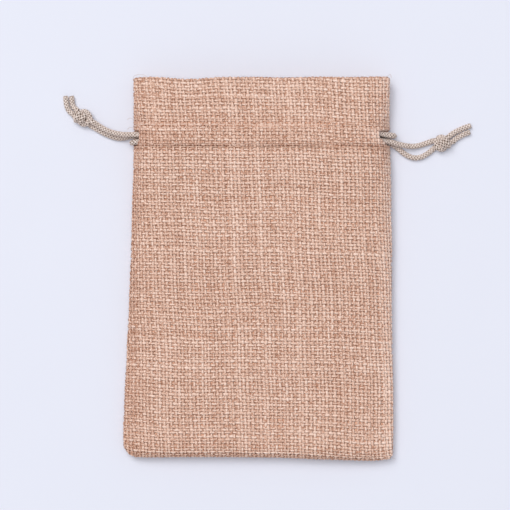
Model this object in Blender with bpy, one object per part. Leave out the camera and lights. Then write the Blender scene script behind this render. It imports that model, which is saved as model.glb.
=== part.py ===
"""A small drawcord pouch of burlap-look cloth, lying on its back with its mouth towards +Y.

One strip of cloth is folded at the bottom, sewn up both sides and hemmed at the mouth, where two stitch
rows make a channel. Two drawcords run round the mouth in that channel. Each has both ends tied in one
overhand knot, on opposite sides. Sizes are in millimetres, and meshes are made in metres.
"""

import math
from collections import namedtuple

import bmesh
import bpy
import numpy as np
from mathutils import Vector

MM = 0.001

# Driving dimensions
LENGTH = 140.0  # bottom fold to rim
CLOTH = 1.0  # one layer
HEADER = 1.4  # the two layers pressed together between rim and channel
CORD = 2.0
CLEAR = 0.3  # between a cord and what it touches
TUNNEL = 2.8  # inside height of the channel

RIM = LENGTH / 2
FOLD = -LENGTH / 2
FOLD_RADIUS = 4.5
UPPER_STITCH = 52.0
LOWER_STITCH = 44.0
CHANNEL = (UPPER_STITCH + LOWER_STITCH) / 2
CHANNEL_HALF = (UPPER_STITCH - LOWER_STITCH) / 2
CHANNEL_BULGE = 0.7  # the channel's crest over its stitch rows
TUNNEL_HALF = CHANNEL_HALF - 0.5
TUNNEL_LEFT = -0.952  # how far the channel follows the cloth, as parts of its half-width
TUNNEL_RIGHT = 0.945
TUNNEL_ROWS = 11
LEAST_TUNNEL = 0.05
MOUTH_START = 0.84  # from here the channel gapes towards the slits
MOUTH_GAPE = 0.65
PAST_SLIT = 6.0
HEM_EDGE = 41.8
STITCH_GROOVE = 0.3
STITCH_SPREAD = 0.7
SIDE_SOFTNESS = 1 / 1.8
UNDERSIDE_BLUNT = 8
UNDERSIDE_FLAT = 1.15  # over 1, so that the back lies flat short of its edges
LEFT_CORNER = 5.5
RIGHT_CORNER = 2.4

# The form along the pouch: its edges, the height of the front, how far the back is off the surface,
# the height of the side seams, and how square the sides are.
Row = namedtuple("Row", "along left right front lift seam blunt")
ROWS = (
    Row(-70.0, -49.5, 49.4, 8.0, 0.0, 3.7, 4.0),
    Row(-58.0, -49.5, 49.5, 8.5, 0.0, 3.7, 4.0),
    Row(-47.5, -49.1, 49.5, 9.1, 0.0, 3.6, 4.0),
    Row(-29.5, -48.3, 49.2, 10.0, 0.0, 3.6, 4.0),
    Row(-13.0, -47.5, 49.0, 10.7, 0.0, 3.6, 4.0),
    Row(7.0, -46.7, 49.0, 11.5, 0.0, 3.6, 4.2),
    Row(25.0, -46.2, 48.7, 12.3, 0.0, 3.5, 4.8),
    Row(37.0, -45.8, 48.5, 12.9, 0.0, 2.9, 6.8),
    Row(44.0, -45.7, 48.3, 13.3, 0.0, 0.8, 9.0),
    Row(52.0, -45.7, 48.2, 13.3, 0.0, 0.8, 9.0),
    Row(57.0, -45.7, 48.1, 12.9, 0.2, 3.4, 7.0),
    Row(63.0, -45.7, 48.1, 12.3, 1.0, 5.0, 5.0),
    Row(70.0, -45.7, 48.1, 11.3, 2.2, 6.0, 4.6),
)

# How the bottom fold and the rim stray from a straight line
Stray = namedtuple("Stray", "across fold rim")
STRAYS = (
    Stray(-50.0, 1.4, -0.5),
    Stray(-38.0, 1.2, -0.2),
    Stray(-25.0, 1.3, -1.0),
    Stray(-14.0, 1.3, -0.3),
    Stray(0.0, 1.2, -0.2),
    Stray(8.0, 1.1, -0.5),
    Stray(20.0, 0.6, -0.2),
    Stray(32.0, 0.2, -0.3),
    Stray(41.0, 0.0, -0.1),
    Stray(50.0, 0.6, 0.0),
)
STRAY_REACH = 18.0

# Soft troughs (positive depth) and swells (negative) of the front
Crease = namedtuple("Crease", "across along angle half_length half_width depth")
CREASES = (
    Crease(24.0, 24.0, -22, 15.0, 2.6, 0.45),
    Crease(-20.0, 33.0, 8, 17.0, 3.0, 0.35),
    Crease(-28.0, -22.0, 78, 22.0, 4.0, 0.40),
    Crease(34.0, -12.0, 97, 25.0, 4.0, 0.40),
    Crease(6.0, -46.0, 4, 24.0, 3.6, 0.35),
    Crease(-24.0, 61.0, 88, 8.0, 3.2, 0.45),
    Crease(9.0, 62.0, 93, 8.0, 3.6, 0.40),
    Crease(33.0, 61.0, 86, 8.0, 3.0, 0.35),
    Crease(0.0, 4.0, 12, 20.0, 9.0, -0.35),
)

# Where the front layer is drawn back at the side slits: corners of each slit in plan
LEFT_SLIT = ((-60.0, 51.4), (-45.0, 51.4), (-43.8, 50.5), (-43.5, 49.0), (-43.6, 47.4),
             (-44.1, 45.9), (-44.3, 44.6), (-60.0, 44.6))
RIGHT_SLIT = ((60.0, 51.4), (46.2, 51.4), (44.3, 50.6), (43.9, 49.3), (44.1, 47.9),
              (45.2, 46.9), (45.6, 45.8), (45.6, 44.4), (60.0, 44.4))
SLIT_TOP = 20.0

COLUMNS = 30
CAVITY_COLUMNS = 22
LEAST_CAVITY = 0.5
SIDE_WALL = 1.2
PAST_RIM = 6.0

# The drawcords' routes, from knot to knot: out of the knot, in at the slit, across the front channel,
# round the far end, back across the rear channel and out again
LEFT_ROUTE = (
    (-60.6, 53.7, 3.3), (-59.3, 53.0, 3.25), (-57.6, 51.85, 3.15), (-55.4, 50.6, 3.15), (-52.8, 49.6, 3.3), (-49.8, 49.0, 3.8),
    (-46.8, 48.85, 4.55), (-44.8, 48.85, 4.95), (-43.6, 48.8, 5.15), (-42.5, 48.8, 6.25),
    (-41.5, 48.8, 7.4), (-40.5, 48.8, 8.42), (-39.0, 48.8, 9.6), (-37.0, 48.9, 10.4),
    (-35.0, 48.9, 10.87), (-32.0, 49.0, 11.25), (-28.0, 49.0, 11.47), (-22.0, 49.1, 11.58),
    (-8.0, 49.2, 11.6), (8.0, 49.3, 11.6), (22.0, 49.3, 11.6), (30.0, 49.3, 11.5), (34.0, 49.3, 11.3),
    (37.0, 49.3, 10.95), (39.5, 49.3, 10.4), (41.5, 49.3, 9.6), (43.0, 49.2, 8.45), (43.9, 49.1, 7.7),
    (45.8, 48.8, 6.8), (48.2, 48.5, 5.8), (49.4, 48.4, 4.2), (48.6, 48.4, 2.8), (46.6, 48.4, 2.5),
    (44.0, 48.5, 2.55), (41.0, 48.5, 2.42), (36.0, 48.5, 2.36), (24.0, 48.5, 2.36), (8.0, 48.6, 2.36),
    (-8.0, 48.7, 2.36), (-24.0, 48.8, 2.36), (-36.0, 48.8, 2.36), (-41.0, 48.7, 2.47),
    (-43.2, 48.5, 2.62), (-44.6, 48.4, 2.6), (-45.8, 48.3, 2.35), (-47.2, 48.1, 1.95),
    (-48.8, 47.8, 1.4), (-50.4, 47.7, 1.07), (-52.8, 48.1, 1.03), (-55.6, 49.2, 1.03),
    (-57.9, 50.4, 1.03), (-59.7, 51.45, 1.03), (-60.9, 52.1, 1.03),
)
RIGHT_ROUTE = (
    (64.3, 46.8, 1.03), (62.4, 46.3, 1.03), (60.5, 45.6, 1.05), (58.5, 45.0, 1.3), (56.2, 44.7, 1.9),
    (53.2, 44.95, 2.95), (51.0, 45.4, 3.75), (49.0, 45.9, 4.5), (47.6, 46.25, 4.95),
    (46.4, 46.4, 5.3), (45.4, 46.45, 5.9), (44.5, 46.5, 6.92), (43.5, 46.5, 8.0), (42.3, 46.55, 9.05),
    (41.0, 46.6, 9.87), (39.0, 46.6, 10.55), (37.0, 46.6, 10.96), (34.0, 46.6, 11.3),
    (30.0, 46.6, 11.5), (22.0, 46.6, 11.58), (8.0, 46.5, 11.6), (-8.0, 46.5, 11.6),
    (-22.0, 46.4, 11.58), (-28.0, 46.4, 11.47), (-32.0, 46.4, 11.25), (-35.0, 46.4, 10.87),
    (-37.0, 46.35, 10.4), (-39.0, 46.3, 9.6), (-40.5, 46.3, 8.42), (-41.5, 46.3, 7.42),
    (-42.4, 46.2, 6.35), (-43.3, 46.2, 5.7), (-44.4, 46.1, 5.45), (-45.4, 46.0, 5.0),
    (-45.9, 45.9, 4.0), (-45.4, 45.9, 3.0), (-44.3, 45.95, 2.62), (-42.8, 46.1, 2.6),
    (-40.5, 46.15, 2.46), (-36.0, 46.15, 2.36), (-20.0, 46.15, 2.36), (0.0, 46.15, 2.36),
    (20.0, 46.15, 2.36), (36.0, 46.15, 2.36), (42.0, 46.1, 2.42), (45.0, 46.0, 2.5),
    (47.0, 45.85, 2.4), (48.6, 45.4, 2.1), (50.0, 44.6, 1.65), (51.4, 43.5, 1.23), (53.0, 42.2, 1.05),
    (54.9, 41.1, 1.03), (57.0, 40.5, 1.03), (59.3, 40.8, 1.03), (61.6, 42.0, 1.03), (63.4, 43.4, 1.03),
    (64.8, 44.5, 1.03),
)
TAILS = {
    "tail_left_a": ((-67.3, 56.2, 1.5), (-68.5, 57.1, 1.2), (-69.45, 58.4, 1.05), (-69.95, 60.0, 1.03),
                    (-70.15, 61.4, 1.03), (-70.25, 62.7, 1.03)),
    "tail_left_b": ((-66.0, 57.9, 1.5), (-67.0, 58.65, 1.15), (-67.6, 59.5, 1.03), (-67.85, 60.5, 1.03),
                    (-68.0, 61.5, 1.03), (-68.1, 62.7, 1.03)),
    "tail_right_a": ((70.85, 46.4, 1.5), (72.0, 47.4, 1.15), (73.35, 48.25, 1.05), (75.15, 49.15, 1.03),
                     (76.9, 49.8, 1.03)),
    "tail_right_b": ((69.4, 48.2, 1.5), (70.6, 49.2, 1.2), (72.3, 50.2, 1.05), (74.6, 51.3, 1.03),
                     (77.2, 52.2, 1.03)),
}

# The overhand knot of a doubled cord, as it runs from the pouch to the tails: places along and across
# the knot, height, and the angle from the knot's length at which the first cord lies beside the middle
KNOT_PATH = (
    (-3.2, 0.0, 1.6, 90), (-1.3, -0.3, 1.4, 75), (0.1, -1.2, 1.35, 20), (0.25, -2.25, 2.4, 0),
    (0.15, -1.1, 3.9, 0), (0.0, 0.8, 4.1, 0), (-0.3, 2.2, 2.9, 10), (-1.4, 2.2, 2.2, 70),
    (-2.6, 1.0, 3.1, 135), (-2.7, -0.7, 3.2, 185), (-1.4, -1.4, 2.0, 240), (0.3, -0.7, 1.5, 265),
    (2.2, 0.0, 1.6, 270),
)
KNOT_STRAND = 1.9  # the cord's diameter where the knot squeezes it
PAIR_HALF = 0.88
KNOT_VOXEL = 0.45
KNOT_KEPT = 0.55
Knot = namedtuple("Knot", "name x y z angle stretch width route tails")
KNOTS = (
    Knot("knot_left", -64.6, 55.2, -0.20, 155, 0.90, -0.80, LEFT_ROUTE, ("tail_left_a", "tail_left_b")),
    Knot("knot_right", 67.6, 45.9, -0.25, 26, 0.70, 0.77, RIGHT_ROUTE, ("tail_right_a", "tail_right_b")),
)

CORD_STEP = 4.6
BEND_STEP = 1.5
BEND_TURN = math.radians(13)
FINE_STEPS = 24
CORD_ROUNDNESS = 2

CLOTH_COLOUR = (0.62, 0.39, 0.30)
CORD_COLOUR = (0.47, 0.39, 0.30)


def clear_scene():
    for obj in list(bpy.data.objects):
        bpy.data.objects.remove(obj, do_unlink=True)


def fabric(name, colour, roughness):
    material = bpy.data.materials.new(name)
    material.use_nodes = True
    shader = material.node_tree.nodes["Principled BSDF"]
    shader.inputs["Base Color"].default_value = (*colour, 1.0)
    shader.inputs["Roughness"].default_value = roughness
    shader.inputs["Metallic"].default_value = 0.0
    return material


def through(table, key, at):
    """The table's other columns at this place, on a smooth curve through its rows."""
    keys = [getattr(row, key) for row in table]
    at = min(max(at, keys[0]), keys[-1])
    i = min(max(int(np.searchsorted(keys, at)) - 1, 0), len(keys) - 2)
    before, start, end, after = (table[min(max(i + k, 0), len(keys) - 1)] for k in (-1, 0, 1, 2))
    span = keys[i + 1] - keys[i]
    t = (at - keys[i]) / span
    found = []
    for a, b, c, d in zip(before, start, end, after):
        rise = c - b
        lead = 0.0 if (b - a) * rise <= 0 else min((c - a) / 2, 2 * rise, key=abs)
        trail = 0.0 if rise * (d - c) <= 0 else min((d - b) / 2, 2 * rise, key=abs)
        found.append(
            b + t * (lead + t * (3 * rise - 2 * lead - trail + t * (lead + trail - 2 * rise)))
        )
    return type(start)(*found)


def ease(low, high, at):
    t = min(max((at - low) / (high - low), 0.0), 1.0)
    return t * t * (3 - 2 * t)


def channel_height(along):
    """The inside height of the channel, with none at or past its stitch rows."""
    off = abs(along - CHANNEL) / TUNNEL_HALF
    return TUNNEL * math.sqrt(1 - off**6) if off < 1 else 0.0


def wall(along):
    """The thickness of one wall of the pouch, with its hem and what the channel holds open."""
    if along < HEM_EDGE:
        return CLOTH
    if along <= UPPER_STITCH:
        return 2 * CLOTH + channel_height(along)
    return 2 * CLOTH + (HEADER - 2 * CLOTH) * ease(UPPER_STITCH, UPPER_STITCH + 1.5, along)


def plan(across, along):
    """The place in plan of a point of the strip; across goes from -1 at the left seam to 1."""
    row = through(ROWS, "along", along)
    x = (row.left + row.right) / 2 + across * (row.right - row.left) / 2
    stray = through(STRAYS, "across", x)
    y = along + stray.fold * ease(FOLD + STRAY_REACH, FOLD, along)
    y += stray.rim * ease(RIM - STRAY_REACH, RIM, along)
    radius = LEFT_CORNER if across < 0 else RIGHT_CORNER
    edge = row.left if across < 0 else row.right
    out = 1 - abs(edge - x) / radius
    down = 1 - (along - FOLD) / radius
    if out > 0 and down > 0:
        side = math.copysign(radius, across)
        x += side * out * (math.sqrt(1 - down * down / 2) - 1)
        y -= radius * down * (math.sqrt(1 - out * out / 2) - 1)
    return x, y


def relief(x, y):
    """How far the front is sunk by its soft creases."""
    depth = 0.0
    for crease in CREASES:
        turn = math.radians(crease.angle)
        dx, dy = x - crease.across, y - crease.along
        run = (dx * math.cos(turn) + dy * math.sin(turn)) / crease.half_length
        off = (dy * math.cos(turn) - dx * math.sin(turn)) / crease.half_width
        depth += crease.depth * math.exp(-(run**4) - off * off)
    return depth


def faces(across, along):
    """The heights of the front and of the underside at a point of the strip."""
    row = through(ROWS, "along", along)
    up = max(0.0, 1 - min((along - FOLD) / FOLD_RADIUS, 1.0))
    fold = math.sqrt(1 - up * up)
    side = min(abs(across), 1.0)
    crown = (1 - side**row.blunt) ** SIDE_SOFTNESS * fold
    spread = min(1.0, UNDERSIDE_FLAT * math.sqrt(1 - side**UNDERSIDE_BLUNT) * fold)
    swell = CHANNEL_BULGE * channel_height(along) / TUNNEL
    for stitch in (LOWER_STITCH, UPPER_STITCH):
        swell -= STITCH_GROOVE * math.exp(-(((along - stitch) / STITCH_SPREAD) ** 2))
    swell -= relief(*plan(across, along))
    top = row.seam + (row.front + swell - row.seam) * crown
    under = row.seam - (row.seam - row.lift) * spread
    return top, under


def slab(name, columns, rows, place):
    """A closed solid: a grid extruded once, each point put where place(across, row, top) says."""
    mesh = bmesh.new()
    bmesh.ops.create_grid(mesh, x_segments=columns, y_segments=len(rows) - 1, size=1.0)
    extruded = bmesh.ops.extrude_face_region(mesh, geom=mesh.faces[:], use_keep_orig=True)
    lifted = [item for item in extruded["geom"] if isinstance(item, bmesh.types.BMVert)]
    bmesh.ops.translate(mesh, verts=lifted, vec=(0.0, 0.0, 1.0))
    for vert in mesh.verts:
        row = rows[round((vert.co.y + 1) / 2 * (len(rows) - 1))]
        across = math.sin(vert.co.x * math.pi / 2)
        vert.co = Vector(place(across, row, vert.co.z > 0.5)) * MM
    bmesh.ops.remove_doubles(mesh, verts=mesh.verts, dist=1e-7)
    bmesh.ops.recalc_face_normals(mesh, faces=mesh.faces)
    return finish(name, mesh)


def finish(name, mesh):
    data = bpy.data.meshes.new(name)
    mesh.to_mesh(data)
    mesh.free()
    obj = bpy.data.objects.new(name, data)
    bpy.context.collection.objects.link(obj)
    return obj


def outside_point(across, along, top):
    front, under = faces(across, along)
    return (*plan(across, along), front if top else under)


def outer_rows():
    fold = [FOLD + FOLD_RADIUS * (1 - math.cos(math.radians(a))) for a in (0, 20, 38, 55, 72, 90)]
    body = np.linspace(-56.0, 36.5, 11)
    channel = (39.5, 41.8, 43.4, 44.0, 44.6, 46.0, 48.0, 50.0, 51.4, 52.0, 52.6, 53.8, 56.0)
    header = (59.5, 63.0, 66.5, RIM)
    return [*fold, *body, *channel, *header]


def cavity_rows():
    bottom = (FOLD + SIDE_WALL, -67.4, -64.0)
    body = np.linspace(-55.0, 35.0, 10)
    channel = (40.0, HEM_EDGE - 0.05, HEM_EDGE + 0.05, LOWER_STITCH, 45.4, 46.6, CHANNEL,
               49.4, 50.6, UPPER_STITCH, 53.5)
    return [*bottom, *body, *channel, 61.0, RIM, RIM + PAST_RIM]


def hollow(across, along):
    """The heights of the cavity's top and bottom at a point of the strip."""
    front, under = faces(across, along)
    return front - wall(along), under + wall(along)


def cavity_reach(side, along):
    """How far across the cavity goes on this side, where it is still open."""
    row = through(ROWS, "along", along)
    low, high = 0.0, 1 - 2 * SIDE_WALL / (row.right - row.left)
    top, bottom = hollow(side * high, along)
    if top - bottom >= LEAST_CAVITY:
        return high
    for _ in range(24):
        middle = (low + high) / 2
        top, bottom = hollow(side * middle, along)
        low, high = (middle, high) if top - bottom > LEAST_CAVITY else (low, middle)
    return low


def cavity_point(across, along, top):
    inside = min(along, RIM)
    reach = cavity_reach(math.copysign(1.0, across), inside)
    heights = hollow(across * reach, inside)
    x, y = plan(across * reach, inside)
    return x, y + along - inside, heights[0] if top else heights[1]


def tunnel(name, on_front):
    """The inside of the channel in the front or back wall, carried out past both slits."""

    def place(across, along, top):
        held = TUNNEL_LEFT + (across + 1) / 2 * (TUNNEL_RIGHT - TUNNEL_LEFT)
        front, under = faces(held, along)
        x, y = plan(held, along)
        if abs(across) == 1.0:
            x += math.copysign(PAST_SLIT, across)
        open_by = max(channel_height(along), LEAST_TUNNEL)
        if on_front:
            open_by *= 1 + MOUTH_GAPE * ease(MOUTH_START, abs(TUNNEL_LEFT), abs(held))
        if on_front:
            return x, y, front - CLOTH - (0 if top else open_by)
        return x, y, under + CLOTH + (open_by if top else 0)

    turns = np.linspace(-math.pi / 2, math.pi / 2, TUNNEL_ROWS)
    return slab(name, COLUMNS, [CHANNEL + TUNNEL_HALF * math.sin(turn) for turn in turns], place)


def slit(name, corners):
    """What is taken off the layers over the back layer at a side slit."""
    mesh = bmesh.new()
    ring = [mesh.verts.new(Vector((x, y, CLOTH)) * MM) for x, y in corners]
    base = mesh.faces.new(ring)
    risen = bmesh.ops.extrude_face_region(mesh, geom=[base], use_keep_orig=True)["geom"]
    bmesh.ops.translate(
        mesh,
        verts=[item for item in risen if isinstance(item, bmesh.types.BMVert)],
        vec=(0.0, 0.0, (SLIT_TOP - CLOTH) * MM),
    )
    bmesh.ops.recalc_face_normals(mesh, faces=mesh.faces)
    return finish(name, mesh)


def cut(obj, cutter):
    cutter.hide_render = True
    cutter.display_type = "WIRE"
    modifier = obj.modifiers.new(cutter.name, "BOOLEAN")
    modifier.operation = "DIFFERENCE"
    modifier.solver = "EXACT"
    modifier.object = cutter


def make_bag(material):
    bag = slab("bag", COLUMNS, outer_rows(), outside_point)
    bag.data.materials.append(material)
    cut(bag, slab("cavity", CAVITY_COLUMNS, cavity_rows(), cavity_point))
    cut(bag, tunnel("front_tunnel", True))
    cut(bag, tunnel("back_tunnel", False))
    cut(bag, slit("left_slit", LEFT_SLIT))
    cut(bag, slit("right_slit", RIGHT_SLIT))
    bag.data.shade_smooth()
    bag.data.set_sharp_from_angle(angle=math.radians(40))
    return bag


def smooth_line(points, step):
    """Points a step apart, or nearer in bends, on a smooth curve through the route's own points."""
    pins = [Vector(p) for p in points]
    pins = [2 * pins[0] - pins[1], *pins, 2 * pins[-1] - pins[-2]]
    fine = []
    for before, start, end, after in zip(pins, pins[1:], pins[2:], pins[3:]):
        for t in np.arange(0, 1, 1 / FINE_STEPS):
            fine.append(0.5 * (
                2 * start + (end - before) * t
                + (2 * before - 5 * start + 4 * end - after) * t**2
                + (3 * start - before - 3 * end + after) * t**3
            ))
    fine.append(pins[-2])
    kept = [fine[0]]
    heading = fine[1] - fine[0]
    for here, ahead in zip(fine[1:], fine[2:]):
        turned = heading.angle(ahead - here)
        reach = (here - kept[-1]).length
        if reach >= step or (reach >= BEND_STEP and turned > BEND_TURN):
            kept.append(here)
            heading = ahead - here
    if (kept[-1] - fine[-1]).length < BEND_STEP:
        kept.pop()
    return [*kept, fine[-1]]


def cord(name, points, diameter, material):
    """A tube along these points, with its ends filled."""
    curve = bpy.data.curves.new(name, "CURVE")
    curve.dimensions = "3D"
    curve.bevel_depth = diameter / 2 * MM
    curve.bevel_resolution = CORD_ROUNDNESS
    curve.use_fill_caps = True
    spline = curve.splines.new("POLY")
    spline.points.add(len(points) - 1)
    for point, place in zip(spline.points, points):
        point.co = (*(Vector(place) * MM), 1.0)
    obj = bpy.data.objects.new(name, curve)
    bpy.context.collection.objects.link(obj)
    if material:
        curve.materials.append(material)
    return obj


def as_mesh(curve_obj):
    """A mesh object in the place of a curve object."""
    data = bpy.data.meshes.new_from_object(curve_obj)
    name = curve_obj.name
    bpy.data.objects.remove(curve_obj)
    obj = bpy.data.objects.new(name, data)
    bpy.context.collection.objects.link(obj)
    return obj


def knot_strands(knot):
    """The two strands' points inside a knot, each from the drawcord's end to its tail."""
    turn = math.radians(knot.angle)
    base = Vector((knot.x, knot.y, knot.z))
    ahead = Vector((math.cos(turn), math.sin(turn), 0.0))
    left = Vector((-math.sin(turn), math.cos(turn), 0.0)) * math.copysign(1, knot.width)
    pairs = [(Vector(knot.route[0]), Vector(knot.route[-1]))]
    for along, across, height, angle in KNOT_PATH:
        place = base + ahead * along * knot.stretch + left * across * abs(knot.width)
        place.z += height
        spread = ahead * math.cos(math.radians(angle)) + left * math.sin(math.radians(angle))
        pairs.append((place + spread * PAIR_HALF, place - spread * PAIR_HALF))
    pairs.append(tuple(Vector(TAILS[name][0]) for name in knot.tails))
    return list(zip(*pairs))


def make_knot(knot, material, neighbours):
    """One lump of the two knotted strands, with a socket round each cord that meets it."""
    strands = knot_strands(knot)
    tubes = []
    for index, strand in enumerate(strands):
        inner = smooth_line(strand, BEND_STEP)
        tubes.append(as_mesh(cord(f"{knot.name}_strand_{index}", inner, KNOT_STRAND, None)))
    lump = bmesh.new()
    for tube in tubes:
        lump.from_mesh(tube.data)
        bpy.data.objects.remove(tube)
    obj = finish(knot.name, lump)
    remesh = obj.modifiers.new("fuse", "REMESH")
    remesh.mode = "VOXEL"
    remesh.voxel_size = KNOT_VOXEL * MM
    thin = obj.modifiers.new("thin", "DECIMATE")
    thin.ratio = KNOT_KEPT
    for name, points in neighbours:
        line = smooth_line(points, CORD_STEP)
        lead = (line[0] - line[1]).normalized() * CLEAR
        trail = (line[-1] - line[-2]).normalized() * CLEAR
        socket = [line[0] + lead, *line[1:-1], line[-1] + trail]
        cut(obj, as_mesh(cord(f"socket_{name}", socket, CORD + 2 * CLEAR, None)))
    obj.data.materials.append(material)
    obj.data.shade_smooth()
    return obj


def main():
    clear_scene()
    burlap = fabric("burlap", CLOTH_COLOUR, 0.85)
    braid = fabric("braided_cord", CORD_COLOUR, 0.6)
    make_bag(burlap)
    for name, route in (("drawcord_left", LEFT_ROUTE), ("drawcord_right", RIGHT_ROUTE)):
        cord(name, smooth_line(route, CORD_STEP), CORD, braid)
    for name, points in TAILS.items():
        cord(name, smooth_line(points, CORD_STEP / 2), CORD, braid)
    for knot in KNOTS:
        meets = [(f"{knot.name}_drawcord", knot.route)]
        meets += [(name, TAILS[name]) for name in knot.tails]
        make_knot(knot, braid, meets)


main()
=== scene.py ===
"""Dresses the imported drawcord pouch: its woven threads, its stitching and its braided cords.

The cloth is one strip. It is hemmed at the rim, runs down the front, round the bottom fold and up the back.
A place on it is given by its distance across from the middle and its distance down from the front rim.
Shapes repeat the form of the CAD part, in millimetres, and meshes are made in metres.
"""

import functools  # noqa: E402
import math  # noqa: E402
from collections import namedtuple  # noqa: E402

import bmesh  # noqa: E402
import bpy  # noqa: E402
import numpy as np  # noqa: E402
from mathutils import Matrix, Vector  # noqa: E402


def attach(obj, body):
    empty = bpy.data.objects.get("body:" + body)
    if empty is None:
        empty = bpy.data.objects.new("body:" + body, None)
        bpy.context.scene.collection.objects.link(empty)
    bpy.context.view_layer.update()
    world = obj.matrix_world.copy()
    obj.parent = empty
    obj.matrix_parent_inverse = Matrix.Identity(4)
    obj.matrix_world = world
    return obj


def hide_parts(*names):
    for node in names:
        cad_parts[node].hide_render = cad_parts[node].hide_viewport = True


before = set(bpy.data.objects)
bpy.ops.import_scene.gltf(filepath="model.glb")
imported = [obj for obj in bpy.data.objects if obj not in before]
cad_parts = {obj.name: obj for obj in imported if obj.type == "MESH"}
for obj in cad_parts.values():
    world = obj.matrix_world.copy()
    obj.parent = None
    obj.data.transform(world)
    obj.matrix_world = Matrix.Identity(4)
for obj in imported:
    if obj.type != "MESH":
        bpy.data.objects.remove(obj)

bl_info = {
    "name": "Drawcord pouch",
    "version": (1, 0, 0),
    "blender": (4, 5, 0),
    "location": "View3D > Sidebar > Pouch",
    "description": "Weaves, stitches and strings a small burlap-look pouch",
    "category": "Add Mesh",
}

MM = 0.001
SEED = 11

# The form of the pouch, as the CAD part has it
RIM, FOLD = 70.0, -70.0
CLOTH = 1.0
FOLD_RADIUS = 4.5
UPPER_STITCH, LOWER_STITCH = 52.0, 44.0
CHANNEL = 48.0
CHANNEL_BULGE = 0.7
TUNNEL, TUNNEL_HALF, TUNNEL_END = 2.8, 3.5, 0.952
MOUTH_START, MOUTH_GAPE = 0.84, 0.65
HEM_EDGE = 41.8
STITCH_GROOVE, STITCH_SPREAD = 0.3, 0.7
SIDE_SOFTNESS = 1 / 1.8
UNDERSIDE_BLUNT, UNDERSIDE_FLAT = 8, 1.15
LEFT_CORNER, RIGHT_CORNER = 5.5, 2.4

# along, left edge, right edge, height of the front, lift of the back, height of the seams, squareness
ROWS = (
    (-70.0, -49.5, 49.4, 8.0, 0.0, 3.7, 4.0),
    (-58.0, -49.5, 49.5, 8.5, 0.0, 3.7, 4.0),
    (-47.5, -49.1, 49.5, 9.1, 0.0, 3.6, 4.0),
    (-29.5, -48.3, 49.2, 10.0, 0.0, 3.6, 4.0),
    (-13.0, -47.5, 49.0, 10.7, 0.0, 3.6, 4.0),
    (7.0, -46.7, 49.0, 11.5, 0.0, 3.6, 4.2),
    (25.0, -46.2, 48.7, 12.3, 0.0, 3.5, 4.8),
    (37.0, -45.8, 48.5, 12.9, 0.0, 2.9, 6.8),
    (44.0, -45.7, 48.3, 13.3, 0.0, 0.8, 9.0),
    (52.0, -45.7, 48.2, 13.3, 0.0, 0.8, 9.0),
    (57.0, -45.7, 48.1, 12.9, 0.2, 3.4, 7.0),
    (63.0, -45.7, 48.1, 12.3, 1.0, 5.0, 5.0),
    (70.0, -45.7, 48.1, 11.3, 2.2, 6.0, 4.6),
)
# across, stray of the fold, stray of the rim
STRAYS = (
    (-50.0, 1.4, -0.5), (-38.0, 1.2, -0.2), (-25.0, 1.3, -1.0), (-14.0, 1.3, -0.3), (0.0, 1.2, -0.2),
    (8.0, 1.1, -0.5), (20.0, 0.6, -0.2), (32.0, 0.2, -0.3), (41.0, 0.0, -0.1), (50.0, 0.6, 0.0),
)
STRAY_REACH = 18.0
# across, along, angle, half length, half width, depth
CREASES = (
    (24.0, 24.0, -22, 15.0, 2.6, 0.45), (-20.0, 33.0, 8, 17.0, 3.0, 0.35),
    (-28.0, -22.0, 78, 22.0, 4.0, 0.40), (34.0, -12.0, 97, 25.0, 4.0, 0.40),
    (6.0, -46.0, 4, 24.0, 3.6, 0.35), (-24.0, 61.0, 88, 8.0, 3.2, 0.45), (9.0, 62.0, 93, 8.0, 3.6, 0.40),
    (33.0, 61.0, 86, 8.0, 3.0, 0.35), (0.0, 4.0, 12, 20.0, 9.0, -0.35),
)
# The lips of the side slits in the front layer, as along and across
LEFT_LIP = ((44.6, -44.3), (45.9, -44.1), (47.4, -43.6), (49.0, -43.5), (50.0, -43.9), (50.5, -45.1))
RIGHT_LIP = (
    (44.9, 47.6), (45.3, 46.6), (46.2, 45.9), (46.9, 45.2), (47.9, 44.1), (49.3, 43.9), (49.9, 44.4),
    (50.4, 46.3),
)

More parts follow.
